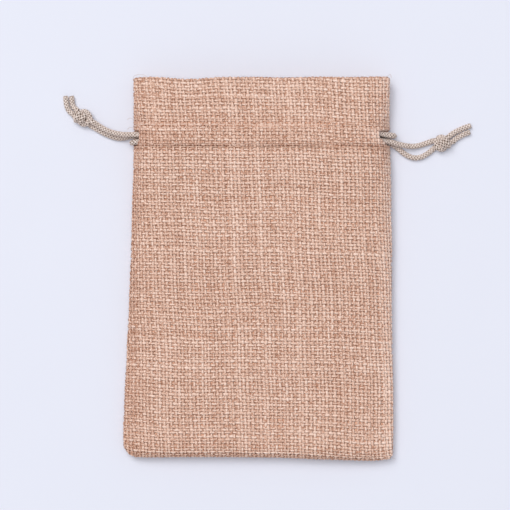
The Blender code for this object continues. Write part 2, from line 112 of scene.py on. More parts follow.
# The drawcords' points across, along and up, from the knot through the channel and back to the knot
LEFT_ROUTE = (
    (-60.6, 53.7, 3.3), (-59.3, 53.0, 3.25), (-57.6, 51.85, 3.15), (-55.4, 50.6, 3.15), (-52.8, 49.6, 3.3),
    (-49.8, 49.0, 3.8), (-46.8, 48.85, 4.55), (-44.8, 48.85, 4.95), (-43.6, 48.8, 5.15), (-42.5, 48.8, 6.25),
    (-41.5, 48.8, 7.4), (-40.5, 48.8, 8.42), (-39.0, 48.8, 9.6), (-37.0, 48.9, 10.4),
    (-35.0, 48.9, 10.87), (-32.0, 49.0, 11.25), (-28.0, 49.0, 11.47), (-22.0, 49.1, 11.58),
    (-8.0, 49.2, 11.6), (8.0, 49.3, 11.6), (22.0, 49.3, 11.6), (30.0, 49.3, 11.5), (34.0, 49.3, 11.3),
    (37.0, 49.3, 10.95), (39.5, 49.3, 10.4), (41.5, 49.3, 9.6), (43.0, 49.2, 8.45), (43.9, 49.1, 7.7),
    (45.8, 48.8, 6.8), (48.2, 48.5, 5.8), (49.4, 48.4, 4.2), (48.6, 48.4, 2.8), (46.6, 48.4, 2.5),
    (44.0, 48.5, 2.55), (41.0, 48.5, 2.42), (36.0, 48.5, 2.36), (24.0, 48.5, 2.36), (8.0, 48.6, 2.36),
    (-8.0, 48.7, 2.36), (-24.0, 48.8, 2.36), (-36.0, 48.8, 2.36), (-41.0, 48.7, 2.47),
    (-43.2, 48.5, 2.62), (-44.6, 48.4, 2.6), (-45.8, 48.3, 2.35), (-47.2, 48.1, 1.95),
    (-48.8, 47.8, 1.4), (-50.4, 47.7, 1.07), (-52.8, 48.1, 1.03), (-55.6, 49.2, 1.03),
    (-57.9, 50.4, 1.03), (-59.7, 51.45, 1.03), (-60.9, 52.1, 1.03),
)
RIGHT_ROUTE = (
    (64.3, 46.8, 1.03), (62.4, 46.3, 1.03), (60.5, 45.6, 1.05), (58.5, 45.0, 1.3), (56.2, 44.7, 1.9),
    (53.2, 44.95, 2.95), (51.0, 45.4, 3.75), (49.0, 45.9, 4.5), (47.6, 46.25, 4.95),
    (46.4, 46.4, 5.3), (45.4, 46.45, 5.9), (44.5, 46.5, 6.92), (43.5, 46.5, 8.0), (42.3, 46.55, 9.05),
    (41.0, 46.6, 9.87), (39.0, 46.6, 10.55), (37.0, 46.6, 10.96), (34.0, 46.6, 11.3),
    (30.0, 46.6, 11.5), (22.0, 46.6, 11.58), (8.0, 46.5, 11.6), (-8.0, 46.5, 11.6),
    (-22.0, 46.4, 11.58), (-28.0, 46.4, 11.47), (-32.0, 46.4, 11.25), (-35.0, 46.4, 10.87),
    (-37.0, 46.35, 10.4), (-39.0, 46.3, 9.6), (-40.5, 46.3, 8.42), (-41.5, 46.3, 7.42),
    (-42.4, 46.2, 6.35), (-43.3, 46.2, 5.7), (-44.4, 46.1, 5.45), (-45.4, 46.0, 5.0),
    (-45.9, 45.9, 4.0), (-45.4, 45.9, 3.0), (-44.3, 45.95, 2.62), (-42.8, 46.1, 2.6),
    (-40.5, 46.15, 2.46), (-36.0, 46.15, 2.36), (-20.0, 46.15, 2.36), (0.0, 46.15, 2.36),
    (20.0, 46.15, 2.36), (36.0, 46.15, 2.36), (42.0, 46.1, 2.42), (45.0, 46.0, 2.5),
    (47.0, 45.85, 2.4), (48.6, 45.4, 2.1), (50.0, 44.6, 1.65), (51.4, 43.5, 1.23), (53.0, 42.2, 1.05),
    (54.9, 41.1, 1.03), (57.0, 40.5, 1.03), (59.3, 40.8, 1.03), (61.6, 42.0, 1.03), (63.4, 43.4, 1.03),
    (64.8, 44.5, 1.03),
)
LEFT_TAILS = (
    ((-67.3, 56.2, 1.5), (-68.5, 57.1, 1.2), (-69.45, 58.4, 1.05), (-69.95, 60.0, 1.03), (-70.15, 61.4, 1.03),
     (-70.25, 62.7, 1.03)),
    ((-66.0, 57.9, 1.5), (-67.0, 58.65, 1.15), (-67.6, 59.5, 1.03), (-67.85, 60.5, 1.03), (-68.0, 61.5, 1.03),
     (-68.1, 62.7, 1.03)),
)
RIGHT_TAILS = (
    ((70.85, 46.4, 1.5), (72.0, 47.4, 1.15), (73.35, 48.25, 1.05), (75.15, 49.15, 1.03), (76.9, 49.8, 1.03)),
    ((69.4, 48.2, 1.5), (70.6, 49.2, 1.2), (72.3, 50.2, 1.05), (74.6, 51.3, 1.03), (77.2, 52.2, 1.03)),
)
# along the knot, across it, height, turn of the pair's spread from the knot's own length
KNOT_PATH = (
    (-3.2, 0.0, 1.6, 90), (-1.3, -0.3, 1.4, 75), (0.1, -1.2, 1.35, 20), (0.25, -2.25, 2.4, 0),
    (0.15, -1.1, 3.9, 0), (0.0, 0.8, 4.1, 0), (-0.3, 2.2, 2.9, 10), (-1.4, 2.2, 2.2, 70),
    (-2.6, 1.0, 3.1, 135), (-2.7, -0.7, 3.2, 185), (-1.4, -1.4, 2.0, 240), (0.3, -0.7, 1.5, 265),
    (2.2, 0.0, 1.6, 270),
)
PAIR_HALF = 0.88
# loop is the part of the route that shows at the other side's slit
Drawcord = namedtuple("Drawcord", "side knot turn stretch width route tails loop")
DRAWCORDS = (
    Drawcord("left", (-64.6, 55.2, -0.20), 155, 0.90, -0.80, LEFT_ROUTE, LEFT_TAILS, slice(23, 35)),
    Drawcord("right", (67.6, 45.9, -0.25), 26, 0.70, 0.77, RIGHT_ROUTE, RIGHT_TAILS, slice(26, 39)),
)
CHANNEL_MOUTH = 40.5  # a drawcord is hidden in the channel nearer to the middle than this
FINE_STEPS = 24

# How the woven cloth sits in the CAD part's one-millimetre wall
MIDDLE = 0.56  # depth of the cloth's middle under the CAD surface
SEAM_TUCK, RIM_TUCK = 0.9, 0.95  # the cloth turns in this far before the seam and the rim
SEAM_TURN, RIM_TURN = 0.45, 0.45  # radii of those turns
MOST_ROLL = 2.6
SIDE_ROW, SIDE_COLUMNS, PARTS = 0.5, 161, 121  # how finely a side is measured out
NEAR = 0.15

# The threads
WEFT_PAST, WARP_PAST = 1.6, 0.35  # how far their ends run past an edge
TUBE_SIDES = 5
BAKE_MARGIN = 0.04
STRAY = 0.19  # a thread may lie off its place by this part of the pitch
LEVEL = 0.25  # a thread is level for this part of the pitch on both sides of a crossing
SPREAD, SWELL, GRAIN = 0.45, 0.35, 0.06  # how thickness varies by thread, along it and from place to place
THICKNESS_RANGE, HEIGHT_RANGE = (0.55, 1.5), (0.8, 1.12)
ASIDE = 0.05
FOLD_REACH, FOLD_THINNING = 9.0, 0.26  # threads are thinner this near to the bottom fold

# Tones run from 0, the darkest threads, to 1, the lightest
THREAD_TONE = 0.49
BY_THREAD, ALONG_THREAD, BY_CORNER = 0.06, 0.03, 0.10  # how much they vary
FLASH, RAREST = 0.26, 0.8  # long light stretches of single threads
# Painted light and shade: a thread is lighter where it passes over and darker where it passes under, more so
# near the bottom fold
OVER_UNDER_LIGHT_AND_SHADE, FOLD_CONTRAST = 0.04, 5
# Painted highlight along a thread's top corner and painted shade down its sides
CORNER_HIGHLIGHT_AND_SHADE = np.array((0.12, -0.02, -0.12, -0.12, -0.02))  # a thread is lightest along its top
# Painted light and shade, as changes of tone, each with the distances between which it comes in: painted
# shade along the left side, at the side seams, the bottom fold, the rims, the stitch rows and the channel,
# and painted light along the right side
LEFT_PAINTED_SHADE = ((-0.12, -12.0, -1.0), (-0.12, -0.7, 0.5))
RIGHT_PAINTED_LIGHT_AND_SHADE = ((0.26, -8.0, -0.5), (-0.06, -0.7, 0.5))
FOLD_PAINTED_SHADE, RIM_PAINTED_SHADE = (-0.14, 5.0, 1.0), (-0.14, 1.8, 0.8)
STITCH_PAINTED_SHADE, STITCH_REACH, CHANNEL_PAINTED_SHADE = -0.16, 0.6, -0.06
# The braid's tones: painted light on strands where they pass over, painted shade where they pass under, a
# painted highlight on their outer faces, painted shade on their inner sides and on the core
BRAID_TONE, BRAID_OVER_LIGHT_AND_SHADE, BRAID_GRAIN, BRAID_ROUND_HIGHLIGHT_AND_SHADE, CORE_PAINTED_SHADE = 0.38, 0.34, 0.06, 0.22, -0.1

# The strands of the braid, in parts of the cord's radius
STRANDS = 4  # each way round
STRAND_OUT, STRAND_WAVE, STRAND_WIDTH, STRAND_HEIGHT = 0.77, 0.10, 0.32, 0.15
BRAID_CORE, ROUTE_CORE = 0.5, 0.72  # the core under the strands, and of the whole hidden route
FILAMENTS, FILAMENT_LENGTHS = 70, (0.05, 0.45)  # at each cut end


def linear(red, green, blue):
    """A colour that is written as it looks on a screen, from 0 to 255, as light."""
    return tuple(((c / 255 + 0.055) / 1.055) ** 2.4 for c in (red, green, blue))


def colour(name, about, *value):
    return bpy.props.FloatVectorProperty(
        name=name, description=about, default=linear(*value), min=0.0, max=1.0, subtype="COLOR"
    )


def distance(name, about, value, low, high):
    return bpy.props.FloatProperty(
        name=name, description=about, default=value * MM, min=low * MM, max=high * MM,
        precision=5, unit="LENGTH", subtype="DISTANCE",
    )


class PouchCloth(bpy.types.PropertyGroup):
    """Sizes and colours of the woven cloth and its stitching."""

    warp_pitch: distance("Warp pitch", "Spacing of the threads that run down the pouch", 1.40, 0.8, 3.0)
    weft_pitch: distance("Weft pitch", "Spacing of the threads that run across it", 1.20, 0.8, 3.0)
    warp_width: distance("Warp width", "Width of a thread that runs down the pouch", 1.10, 0.3, 2.5)
    weft_width: distance("Weft width", "Width of a thread that runs across it", 1.00, 0.3, 2.5)
    thickness: distance("Thread thickness", "Height of a thread's section", 0.40, 0.2, 1.0)
    unevenness: bpy.props.FloatProperty(
        name="Unevenness", description="How much the threads vary in thickness", default=0.26,
        min=0.0, max=0.5, subtype="FACTOR",
    )
    dark: colour("Dark thread", "The darkest threads", 172, 118, 92)
    middle: colour("Thread", "Most threads", 227, 186, 163)
    light: colour("Light thread", "The lightest threads", 252, 224, 208)
    gap: colour("Gaps", "The shade between the threads", 236, 184, 154)
    stitch_length: distance("Stitch length", "Length of one stitch", 2.4, 1.0, 6.0)
    stitch: colour("Stitching", "The sewing thread", 232, 198, 176)
    hair: colour("Loose hair", "Loose thread ends and stray fibres", 212, 198, 194)


class PouchCord(bpy.types.PropertyGroup):
    """Sizes and colours of the braided drawcords."""

    diameter: distance("Diameter", "Diameter of a drawcord", 2.0, 1.0, 4.0)
    lay: distance("Lay", "Length of one turn of a braid strand", 4.4, 2.0, 10.0)
    dark: colour("Dark braid", "The shaded strands", 112, 92, 78)
    middle: colour("Braid", "Most of the braid", 204, 185, 173)
    light: colour("Light braid", "Its light strands", 246, 231, 222)
    core: colour("Core", "The shade between the strands", 74, 58, 48)


class PouchStage(bpy.types.PropertyGroup):
    """The plain floor, the soft light and the camera."""

    floor: colour("Floor", "The pale floor", 231, 233, 244)
    height: distance("Camera height", "Height of the camera over the pouch", 900.0, 100.0, 5000.0)
    width: distance("View width", "Width that the camera sees", 185.4, 50.0, 1000.0)
    key: bpy.props.FloatProperty(
        name="Key light", description="Power of the soft light from the upper left", default=35.8,
        min=0.0, max=5000.0, unit="POWER",
    )
    sky: bpy.props.FloatProperty(
        name="Surrounding light", description="Strength of the even light from all round", default=0.42,
        min=0.0, max=5.0,
    )


class Wire:
    """The output of a shader node. Arithmetic on it adds Math nodes."""

    def __init__(self, graph, socket):
        self.graph, self.socket = graph, socket

    def output(self, name):
        """Another output of the same node."""
        return Wire(self.graph, self.socket.node.outputs[name])

    def __add__(self, other):
        return self.graph.math("ADD", self, other)

    def __sub__(self, other):
        return self.graph.math("SUBTRACT", self, other)

    def __rsub__(self, other):
        return self.graph.math("SUBTRACT", other, self)

    def __mul__(self, other):
        return self.graph.math("MULTIPLY", self, other)

    def __pow__(self, other):
        return self.graph.math("POWER", self, other)

    def __abs__(self):
        return self.graph.math("ABSOLUTE", self)

    __radd__, __rmul__ = __add__, __mul__


class Graph:
    """A new material's node tree."""

    def __init__(self, name):
        self.material = bpy.data.materials.new(name)
        self.material.use_nodes = True
        self.tree = self.material.node_tree
        self.shader = self.tree.nodes["Principled BSDF"]

    def add(self, kind, settings=None, values=None, output=0):
        """A node of this type; its settings are made before its sockets are filled."""
        node = self.tree.nodes.new(kind)
        for name, value in (settings or {}).items():
            if name == "stops":
                self.set_stops(node.color_ramp, value)
            else:
                setattr(node, name, value)
        for name, value in (values or {}).items():
            self.fill(node.inputs[name], value)
        return Wire(self, node.outputs[output])

    def math(self, operation, *values):
        return self.add("ShaderNodeMath", {"operation": operation}, dict(enumerate(values)))

    def set_stops(self, ramp, stops):
        while len(ramp.elements) < len(stops):
            ramp.elements.new(1.0)
        for element, (place, shade) in zip(ramp.elements, stops):
            element.position = place
            element.color = (*shade, 1.0)

    def fill(self, socket, value):
        if isinstance(value, Wire):
            self.tree.links.new(value.socket, socket)
        else:
            socket.default_value = value

    def finish(self, **inputs):
        for name, value in inputs.items():
            self.fill(self.shader.inputs[name.replace("_", " ").title().replace("Ior", "IOR")], value)
        return self.material

    def stretched(self, place, stretch):
        return self.add("ShaderNodeMapping", None, {"Vector": place, "Scale": stretch})

    def noise(self, scale, detail=2.0, place=None):
        """Noise in the piece's own space, or at another place."""
        place = place or self.add("ShaderNodeTexCoord", None, None, "Object")
        values = {"Vector": place, "Scale": scale, "Detail": detail}
        return self.add("ShaderNodeTexNoise", None, values, "Fac")

    def streaks(self, stretch, detail=2.0):
        """Noise in the piece's own space, finer one way than another."""
        place = self.add("ShaderNodeTexCoord", None, None, "Object")
        return self.noise(1.0, detail, self.stretched(place, stretch))

    def attribute(self, name):
        return self.add("ShaderNodeAttribute", {"attribute_name": name}, None, "Fac")

    def ramp(self, level, *stops):
        return self.add("ShaderNodeValToRGB", {"stops": stops}, {"Fac": level}, "Color")

    def bump(self, height, strength, reach):
        return self.add("ShaderNodeBump", None, {"Height": height, "Strength": strength, "Distance": reach})


def yarn_material(name, settings, stretch, streakiness):
    """A fuzzy yarn: its tone, which holds painted light and shade as well as its own colour, streaked by
    fibres that run with the thread.
    """
    graph = Graph(name)
    fibres = graph.streaks(stretch, detail=3.0)
    fuzz = graph.noise(scale=4000.0, detail=1.0)
    level = graph.attribute("tone") + (fibres - 0.5) * streakiness + (fuzz - 0.5) * 1.9
    return graph.finish(
        base_color=graph.ramp(level, (0.0, settings.dark), (0.5, settings.middle), (0.95, settings.light)),
        roughness=fibres * 0.15 + 0.78,
        normal=graph.bump(fibres, strength=0.5, reach=0.00012),
        specular_ior_level=0.25,
    )


def plain_weave(graph, warp_pitch, weft_pitch):
    """(height, tone) of a plain weave on the cloth's own map, whose units are metres."""
    across = graph.add("ShaderNodeSeparateXYZ", None, {0: graph.add("ShaderNodeUVMap", {"uv_map": "Cloth"})})
    runs = (across, warp_pitch), (across.output(1), weft_pitch)
    warp, weft = (abs(graph.math("SINE", run * (math.pi / pitch))) for run, pitch in runs)
    column, row = (graph.math("FLOOR", run * (1 / pitch)) for run, pitch in runs)
    over = graph.math("PINGPONG", column + row, 1.0)
    height = over * (warp ** 0.5) + (1 - over) * (weft ** 0.5)
    # The tone falls to nothing at the threads' edges: painted shade between the threads, lightest at the
    # middle of each crossing
    return height, height * (warp * weft) ** 0.25


def lining_material(name, settings, *stops):
    """The cloth's inner face, which also shows as the dark between the threads."""
    graph = Graph(name)
    height, tone = plain_weave(graph, settings.warp_pitch, settings.weft_pitch)
    patches = graph.noise(scale=420.0, detail=3.0)
    return graph.finish(
        base_color=graph.ramp(tone * 0.75 + (patches - 0.5) * 0.6, *stops),
        roughness=0.92,
        normal=graph.bump(height, strength=0.8, reach=0.0004),
        specular_ior_level=0.15,
    )


def braid_material(settings):
    """Slightly glossy strands of a braided cord; their filaments run with each strand on its own map."""
    graph = Graph("braided_cord_strands")
    along = graph.stretched(graph.add("ShaderNodeUVMap", {"uv_map": "OFBake"}), (240, 40, 1))
    filaments = graph.noise(scale=1.0, place=along)
    grime = graph.noise(scale=1100.0)
    level = graph.attribute("tone") + (filaments - 0.5) * 0.8 + (grime - 0.5) * 0.6
    return graph.finish(
        base_color=graph.ramp(level, (0.05, settings.dark), (0.5, settings.middle), (1.0, settings.light)),
        roughness=filaments * 0.2 + 0.5,
        normal=graph.bump(filaments, strength=0.6, reach=0.00012),
        specular_ior_level=0.3,
    )


def core_material(settings):
    graph = Graph("braided_cord_core")
    # Painted shade: the hidden route's core is coloured as the shade between the strands, where it shows
    # through the braid
    shade = graph.ramp(graph.noise(scale=1800.0), (0.3, settings.core), (0.8, settings.dark))
    return graph.finish(base_color=shade, roughness=0.8)


def stitch_material(settings):
    """A sewing thread, streaked by its twist."""
    graph = Graph("sewing_thread")
    twist = graph.streaks((900, 3000, 3000))
    level = graph.attribute("tone") + (twist - 0.5) * 0.5
    shade = graph.ramp(level, (0.1, settings.middle), (0.6, settings.stitch), (1.0, settings.light))
    normal = graph.bump(twist, strength=0.4, reach=0.00008)
    return graph.finish(base_color=shade, roughness=0.6, normal=normal)


def hair_material(settings):
    graph = Graph("loose_hair")
    shade = graph.ramp(graph.attribute("tone"), (0.4, settings.middle), (0.8, settings.hair))
    return graph.finish(base_color=shade, roughness=0.7)


def dimmed(shade, share):
    return tuple(share * c for c in shade)


def floor_material(settings):
    """A matt floor that can be seen through from below."""
    graph = Graph("pale_floor")
    grain = graph.noise(scale=30.0)
    shade = graph.ramp(grain, (0.0, dimmed(settings.floor, 0.985)), (1.0, settings.floor))
    graph.finish(base_color=shade, roughness=0.9, specular_ior_level=0.1)
    seen_from_below = graph.add("ShaderNodeNewGeometry", None, None, "Backfacing")
    clear = graph.add("ShaderNodeBsdfTransparent")
    sides = {0: seen_from_below, 1: Wire(graph, graph.shader.outputs[0]), 2: clear}
    one_sided = graph.add("ShaderNodeMixShader", None, sides)
    graph.fill(graph.tree.nodes["Material Output"].inputs["Surface"], one_sided)
    return graph.material


def columns(table, at):
    """The table's columns at these places, on smooth curves through its rows."""
    rows = np.array(table, float)
    keys, last = rows[:, 0], len(rows) - 1
    at = np.clip(at, keys[0], keys[-1])
    i = np.clip(np.searchsorted(keys, at) - 1, 0, last - 1)
    a, b, c, d = (rows[np.clip(i + k, 0, last)] for k in (-1, 0, 1, 2))
    t = ((at - keys[i]) / (keys[i + 1] - keys[i]))[..., None]
    rise = c - b
    lead = np.where((b - a) * rise <= 0, 0, smaller((c - a) / 2, 2 * rise))
    trail = np.where(rise * (d - c) <= 0, 0, smaller((d - b) / 2, 2 * rise))
    found = b + t * (lead + t * (3 * rise - 2 * lead - trail + t * (lead + trail - 2 * rise)))
    return np.moveaxis(found, -1, 0)[1:]


def smaller(a, b):
    return np.where(abs(a) <= abs(b), a, b)


def ease(low, high, at):
    t = np.clip((at - low) / (high - low), 0, 1)
    return t * t * (3 - 2 * t)


def channel_height(along):
    off = np.minimum(abs(along - CHANNEL) / TUNNEL_HALF, 1)
    return TUNNEL * np.sqrt(1 - off**6)


def plan(across, along):
    """The place in plan of a point of the strip; across goes from -1 at the left seam to 1."""
    left, right = columns(ROWS, along)[:2]
    x = (left + right) / 2 + across * (right - left) / 2
    fold, rim = columns(STRAYS, x)
    y = along + fold * ease(FOLD + STRAY_REACH, FOLD, along) + rim * ease(RIM - STRAY_REACH, RIM, along)
    radius = np.where(across < 0, LEFT_CORNER, RIGHT_CORNER)
    out = np.maximum(1 - abs(np.where(across < 0, left, right) - x) / radius, 0)
    down = np.maximum(1 - (along - FOLD) / radius, 0)
    x = x + np.sign(across) * radius * out * (np.sqrt(1 - down**2 / 2) - 1)
    return x, y - radius * down * (np.sqrt(1 - out**2 / 2) - 1)


def relief(x, y):
    """How far the front is sunk by its soft creases."""
    depth = 0.0
    for across, along, angle, half_length, half_width, deep in CREASES:
        turn = math.radians(angle)
        dx, dy = x - across, y - along
        run = (dx * math.cos(turn) + dy * math.sin(turn)) / half_length
        off = (dy * math.cos(turn) - dx * math.sin(turn)) / half_width
        depth = depth + deep * np.exp(-(run**4) - off * off)
    return depth


def surface(across, along, front):
    """Points of the CAD part's front or underside."""
    _, _, height, lift, seam, blunt = columns(ROWS, along)
    up = np.maximum(0, 1 - np.minimum((along - FOLD) / FOLD_RADIUS, 1))
    fold = np.sqrt(1 - up * up)
    side = np.minimum(abs(across), 1)
    x, y = plan(across, along)
    if front:
        swell = CHANNEL_BULGE * channel_height(along) / TUNNEL - relief(x, y)
        for stitch in (LOWER_STITCH, UPPER_STITCH):
            swell = swell - STITCH_GROOVE * np.exp(-(((along - stitch) / STITCH_SPREAD) ** 2))
        crown = (1 - side**blunt) ** SIDE_SOFTNESS * fold
        z = seam + (height + swell - seam) * crown
    else:
        spread = np.minimum(1, UNDERSIDE_FLAT * np.sqrt(1 - side**UNDERSIDE_BLUNT) * fold)
        z = seam - (seam - lift) * spread
    return np.stack([x, y, z], axis=-1)


def unit(vectors):
    return vectors / np.maximum(np.linalg.norm(vectors, axis=-1, keepdims=True), 1e-12)


def run_of(points):
    """The distance along a row of points from its first point."""
    steps = np.linalg.norm(np.diff(points, axis=-2), axis=-1)
    return np.concatenate([np.zeros_like(steps[..., :1]), np.cumsum(steps, axis=-1)], axis=-1)


class Side:
    """The front or back of the pouch, by distance across from the middle and down from the rim."""

    def __init__(self, front):
        self.front = front
        fold = FOLD + FOLD_RADIUS * (1 - np.cos(np.linspace(0, math.pi / 2, 19)))
        self.rows = np.concatenate([fold, np.arange(FOLD + FOLD_RADIUS + SIDE_ROW, RIM + 0.01, SIDE_ROW)])
        turns = np.linspace(-math.pi / 2, math.pi / 2, SIDE_COLUMNS)
        across = np.sin(turns)
        points = surface(*np.meshgrid(across, self.rows), front)
        half = SIDE_COLUMNS // 2
        up = run_of(points[:, half])
        self.length = up[-1]
        self.down = self.length - up
        arcs = run_of(points)
        arcs = arcs - arcs[:, half : half + 1]
        self.half_arcs = np.stack([-arcs[:, 0], arcs[:, -1]])
        parts = np.linspace(0, 1, PARTS)
        # Where between middle and edge the cloth is, once for each side, row and part of the half arc
        self.table = np.array([
            [np.interp(parts * edge, run, turns[half:]) for edge, run in zip(edges, runs)]
            for edges, runs in ((self.half_arcs[0], -arcs[:, half::-1]), (self.half_arcs[1], arcs[:, half:]))
        ])
        seams = self.half_arcs - SEAM_TUCK
        self.seams, self.lips = seams, seams.copy()
        left, right = columns(ROWS, self.rows)[:2]
        for side, lip in enumerate((LEFT_LIP, RIGHT_LIP)):
            open_rows = (self.rows > lip[0][0]) & (self.rows < lip[-1][0])
            x = np.interp(self.rows, *zip(*lip))
            share = abs((x - (left + right) / 2) / ((right - left) / 2))
            for row in np.flatnonzero(open_rows):
                run = arcs[row, half:] if side else -arcs[row, half::-1]
                self.lips[side, row] = np.interp(share[row], across[half:], run) - SEAM_TUCK / 2

    def row_of(self, down):
        return np.interp(down, self.down[::-1], np.arange(len(self.rows))[::-1])

    def edge(self, on_right, down, slit):
        """How far across the cloth lies flat here, up to its seam or to the lip of a slit."""
        row = self.row_of(down)
        edges = self.lips if slit else self.seams
        left, right = (np.interp(row, np.arange(len(self.rows)), edge) for edge in edges)
        return np.where(on_right, right, left)

    def share_of(self, across, down):
        """The CAD surface's own coordinates of a place on the cloth."""
        row = self.row_of(down)
        below = np.clip(row.astype(int), 0, len(self.rows) - 2)
        part = row - below
        on_right = (across > 0).astype(int)
        reach = self.half_arcs[on_right, below] * (1 - part) + self.half_arcs[on_right, below + 1] * part
        spot = np.clip(abs(across) / reach, 0, 1) * (PARTS - 1)
        before = np.minimum(spot.astype(int), PARTS - 2)
        rest = spot - before
        low, high = (
            self.table[on_right, row, before] * (1 - rest) + self.table[on_right, row, before + 1] * rest
            for row in (below, below + 1)
        )
        turned = low * (1 - part) + high * part
        return np.sign(across) * np.sin(turned), np.interp(down, self.down[::-1], self.rows[::-1])

    def point(self, across, down):
        return surface(*self.share_of(across, np.clip(down, 0, self.length)), self.front)

    def place(self, across, down, height):
        """Points at a height over the cloth's middle. It rolls in past an edge, and turns over the rim."""
        past = RIM_TUCK - down
        turned = np.clip(past / RIM_TURN, 0, math.pi)
        inside = np.maximum(past - RIM_TURN * math.pi, 0)
        base = np.where(past <= 0, down, RIM_TUCK + inside)
        edge = self.edge(across > 0, base, self.front)
        held = np.clip(across, -edge, edge)
        over = abs(across) - abs(held)
        here = self.point(held, base)
        outwards = unit(self.point(held + NEAR, base) - self.point(held - NEAR, base))
        low, high = np.clip(base - NEAR, 0, self.length), np.clip(base + NEAR, 0, self.length)
        downwards = unit(self.point(held, high) - self.point(held, low))
        normal = unit(np.cross(downwards, outwards) if self.front else np.cross(outwards, downwards))
        share, along = self.share_of(held, base)
        open_by = channel_height(along)
        if self.front:
            open_by = open_by * (1 + MOUTH_GAPE * ease(MOUTH_START, TUNNEL_END, abs(share)))
        inner = np.maximum(1.5 * CLOTH + open_by - MIDDLE - 2 * RIM_TURN, 0) * ease(0, 1.0, inside)
        facing = np.cos(turned)[..., None] * normal - np.sin(turned)[..., None] * downwards
        middle = here - normal * (MIDDLE + RIM_TURN + inner)[..., None] + facing * RIM_TURN
        roll = np.minimum(over / SEAM_TURN, MOST_ROLL)
        straight = over - roll * SEAM_TURN
        reach = (SEAM_TURN + height) * np.sin(roll) + straight * np.cos(roll)
        rise = (SEAM_TURN + height) * np.cos(roll) - SEAM_TURN - straight * np.sin(roll)
        return middle + outwards * (np.sign(across) * reach)[..., None] + facing * rise[..., None]


class Strip:
    """The whole strip of cloth, by distance across from the middle and down from the front rim."""

    def __init__(self):
        self.front, self.back = Side(True), Side(False)
        self.bottom = self.front.length
        self.length = self.bottom + self.back.length

    def sides(self, down):
        on_front = down <= self.bottom
        return (self.front, on_front, down), (self.back, ~on_front, self.length - down)

    def place(self, across, down, height):
        across, down, height = np.broadcast_arrays(across, down, height)
        points = np.empty((*across.shape, 3))
        for side, here, run in self.sides(down):
            points[here] = side.place(across[here], run[here], height[here])
        points[..., 2] = np.maximum(points[..., 2], 0.01)
        return points

    def over(self, across, down):
        """How far a place lies past the edge of the cloth."""
        past = np.empty(across.shape)
        for side, here, run in self.sides(down):
            past[here] = abs(across[here]) - side.edge(across[here] > 0, run[here], side.front)
        return past


@functools.lru_cache
def strip():
    return Strip()


def wander(random, threads, stations, step):
    """Smooth noise along each thread, with a new value every so many stations."""
    pins = random.normal(size=(threads, stations // step + 3))
    spot = np.arange(stations) / step + random.uniform(0, 1, (threads, 1))
    before = spot.astype(int)
    t = spot - before
    t = t * t * (3 - 2 * t)
    rows = np.arange(threads)[:, None]
    return pins[rows, before] * (1 - t) + pins[rows, before + 1] * t


class Weave:
    """Where warp and weft cross, in numbers of threads, with the small strays of a coarse cloth."""

    LEAN, SLOPE = 0.053, 0.022
    COUNT, OFFSET = 400, 80
    # Slow waves of the threads sideways and up or down the cloth: size, and lengths across and down
    SWAY = (0.22, math.inf, 13), (0.16, 19, 6.1), (0.14, 9, -31)
    DIP = (0.26, 12, math.inf), (0.16, 5.6, 23), (0.14, -27, 10)

    def __init__(self, settings):
        self.warp_pitch, self.weft_pitch = settings.warp_pitch / MM, settings.weft_pitch / MM
        self.uneven = settings.unevenness
        random = np.random.default_rng(SEED)
        self.warp_strays = random.uniform(-STRAY, STRAY, self.COUNT)
        self.weft_strays = random.uniform(-STRAY, STRAY, self.COUNT)
        self.phases = random.uniform(0, 2 * math.pi, (2, 3))

    def at(self, warp, weft):
        """The place on the strip where these threads, or parts of a thread, meet."""
        numbers = np.arange(self.COUNT) - self.OFFSET
        warp = warp + np.interp(warp, numbers, self.warp_strays)
        weft = weft + np.interp(weft, numbers, self.weft_strays)
        down = (self.weft_pitch * weft + self.SLOPE * self.warp_pitch * warp) / (1 - self.SLOPE * self.LEAN)
        across = self.warp_pitch * warp + self.LEAN * down
        sway, dip = (
            sum(size * np.sin(across / a + down / d + phase) for (size, a, d), phase in zip(waves, phases))
            for waves, phases in zip((self.SWAY, self.DIP), self.phases)
        )
        return across + sway, down + dip


def stations(first, last):
    """Two places round each crossing from the first to the last, and the last place before them."""
    places = np.arange(first, last + 1)[:, None] + np.array((-LEVEL, LEVEL))
    return np.concatenate([[first - 1 + LEVEL], places.ravel()])


def shades(distance, *changes):
    return sum(change * ease(low, high, distance) for change, low, high in changes)


def painted_light_and_shade_of(across, down):
    """Painted light and shade, as how much lighter or darker the cloth is: painted shade along its left side,
    at its seams, bottom fold, rims, stitch rows and channel, and painted light along its right side.
    """
    cloth = strip()
    over = cloth.over(across, down)
    # Painted light along the right side, painted shade along the left side and at both seams
    shade = np.where(across > 0, shades(over, *RIGHT_PAINTED_LIGHT_AND_SHADE), shades(over, *LEFT_PAINTED_SHADE))
    # Painted shade at the bottom fold and at the rims
    shade = shade + shades(abs(down - cloth.bottom), FOLD_PAINTED_SHADE)
    shade = shade + shades(np.minimum(down, cloth.length - down), RIM_PAINTED_SHADE)
    for side, on_front, run in cloth.sides(down):
        upper, lower = (np.interp(row, side.rows, side.down) for row in (UPPER_STITCH, LOWER_STITCH))
        dips = sum(np.exp(-(((run - row) / STITCH_REACH) ** 2)) for row in (upper, lower))
        inside = ease(upper - 0.5, upper + 0.5, run) * ease(lower + 0.5, lower - 0.5, run)
        # Painted shade in the grooves of the stitch rows and inside the channel
        shade = shade + on_front * (STITCH_PAINTED_SHADE * dips + CHANNEL_PAINTED_SHADE * inside)
    return shade


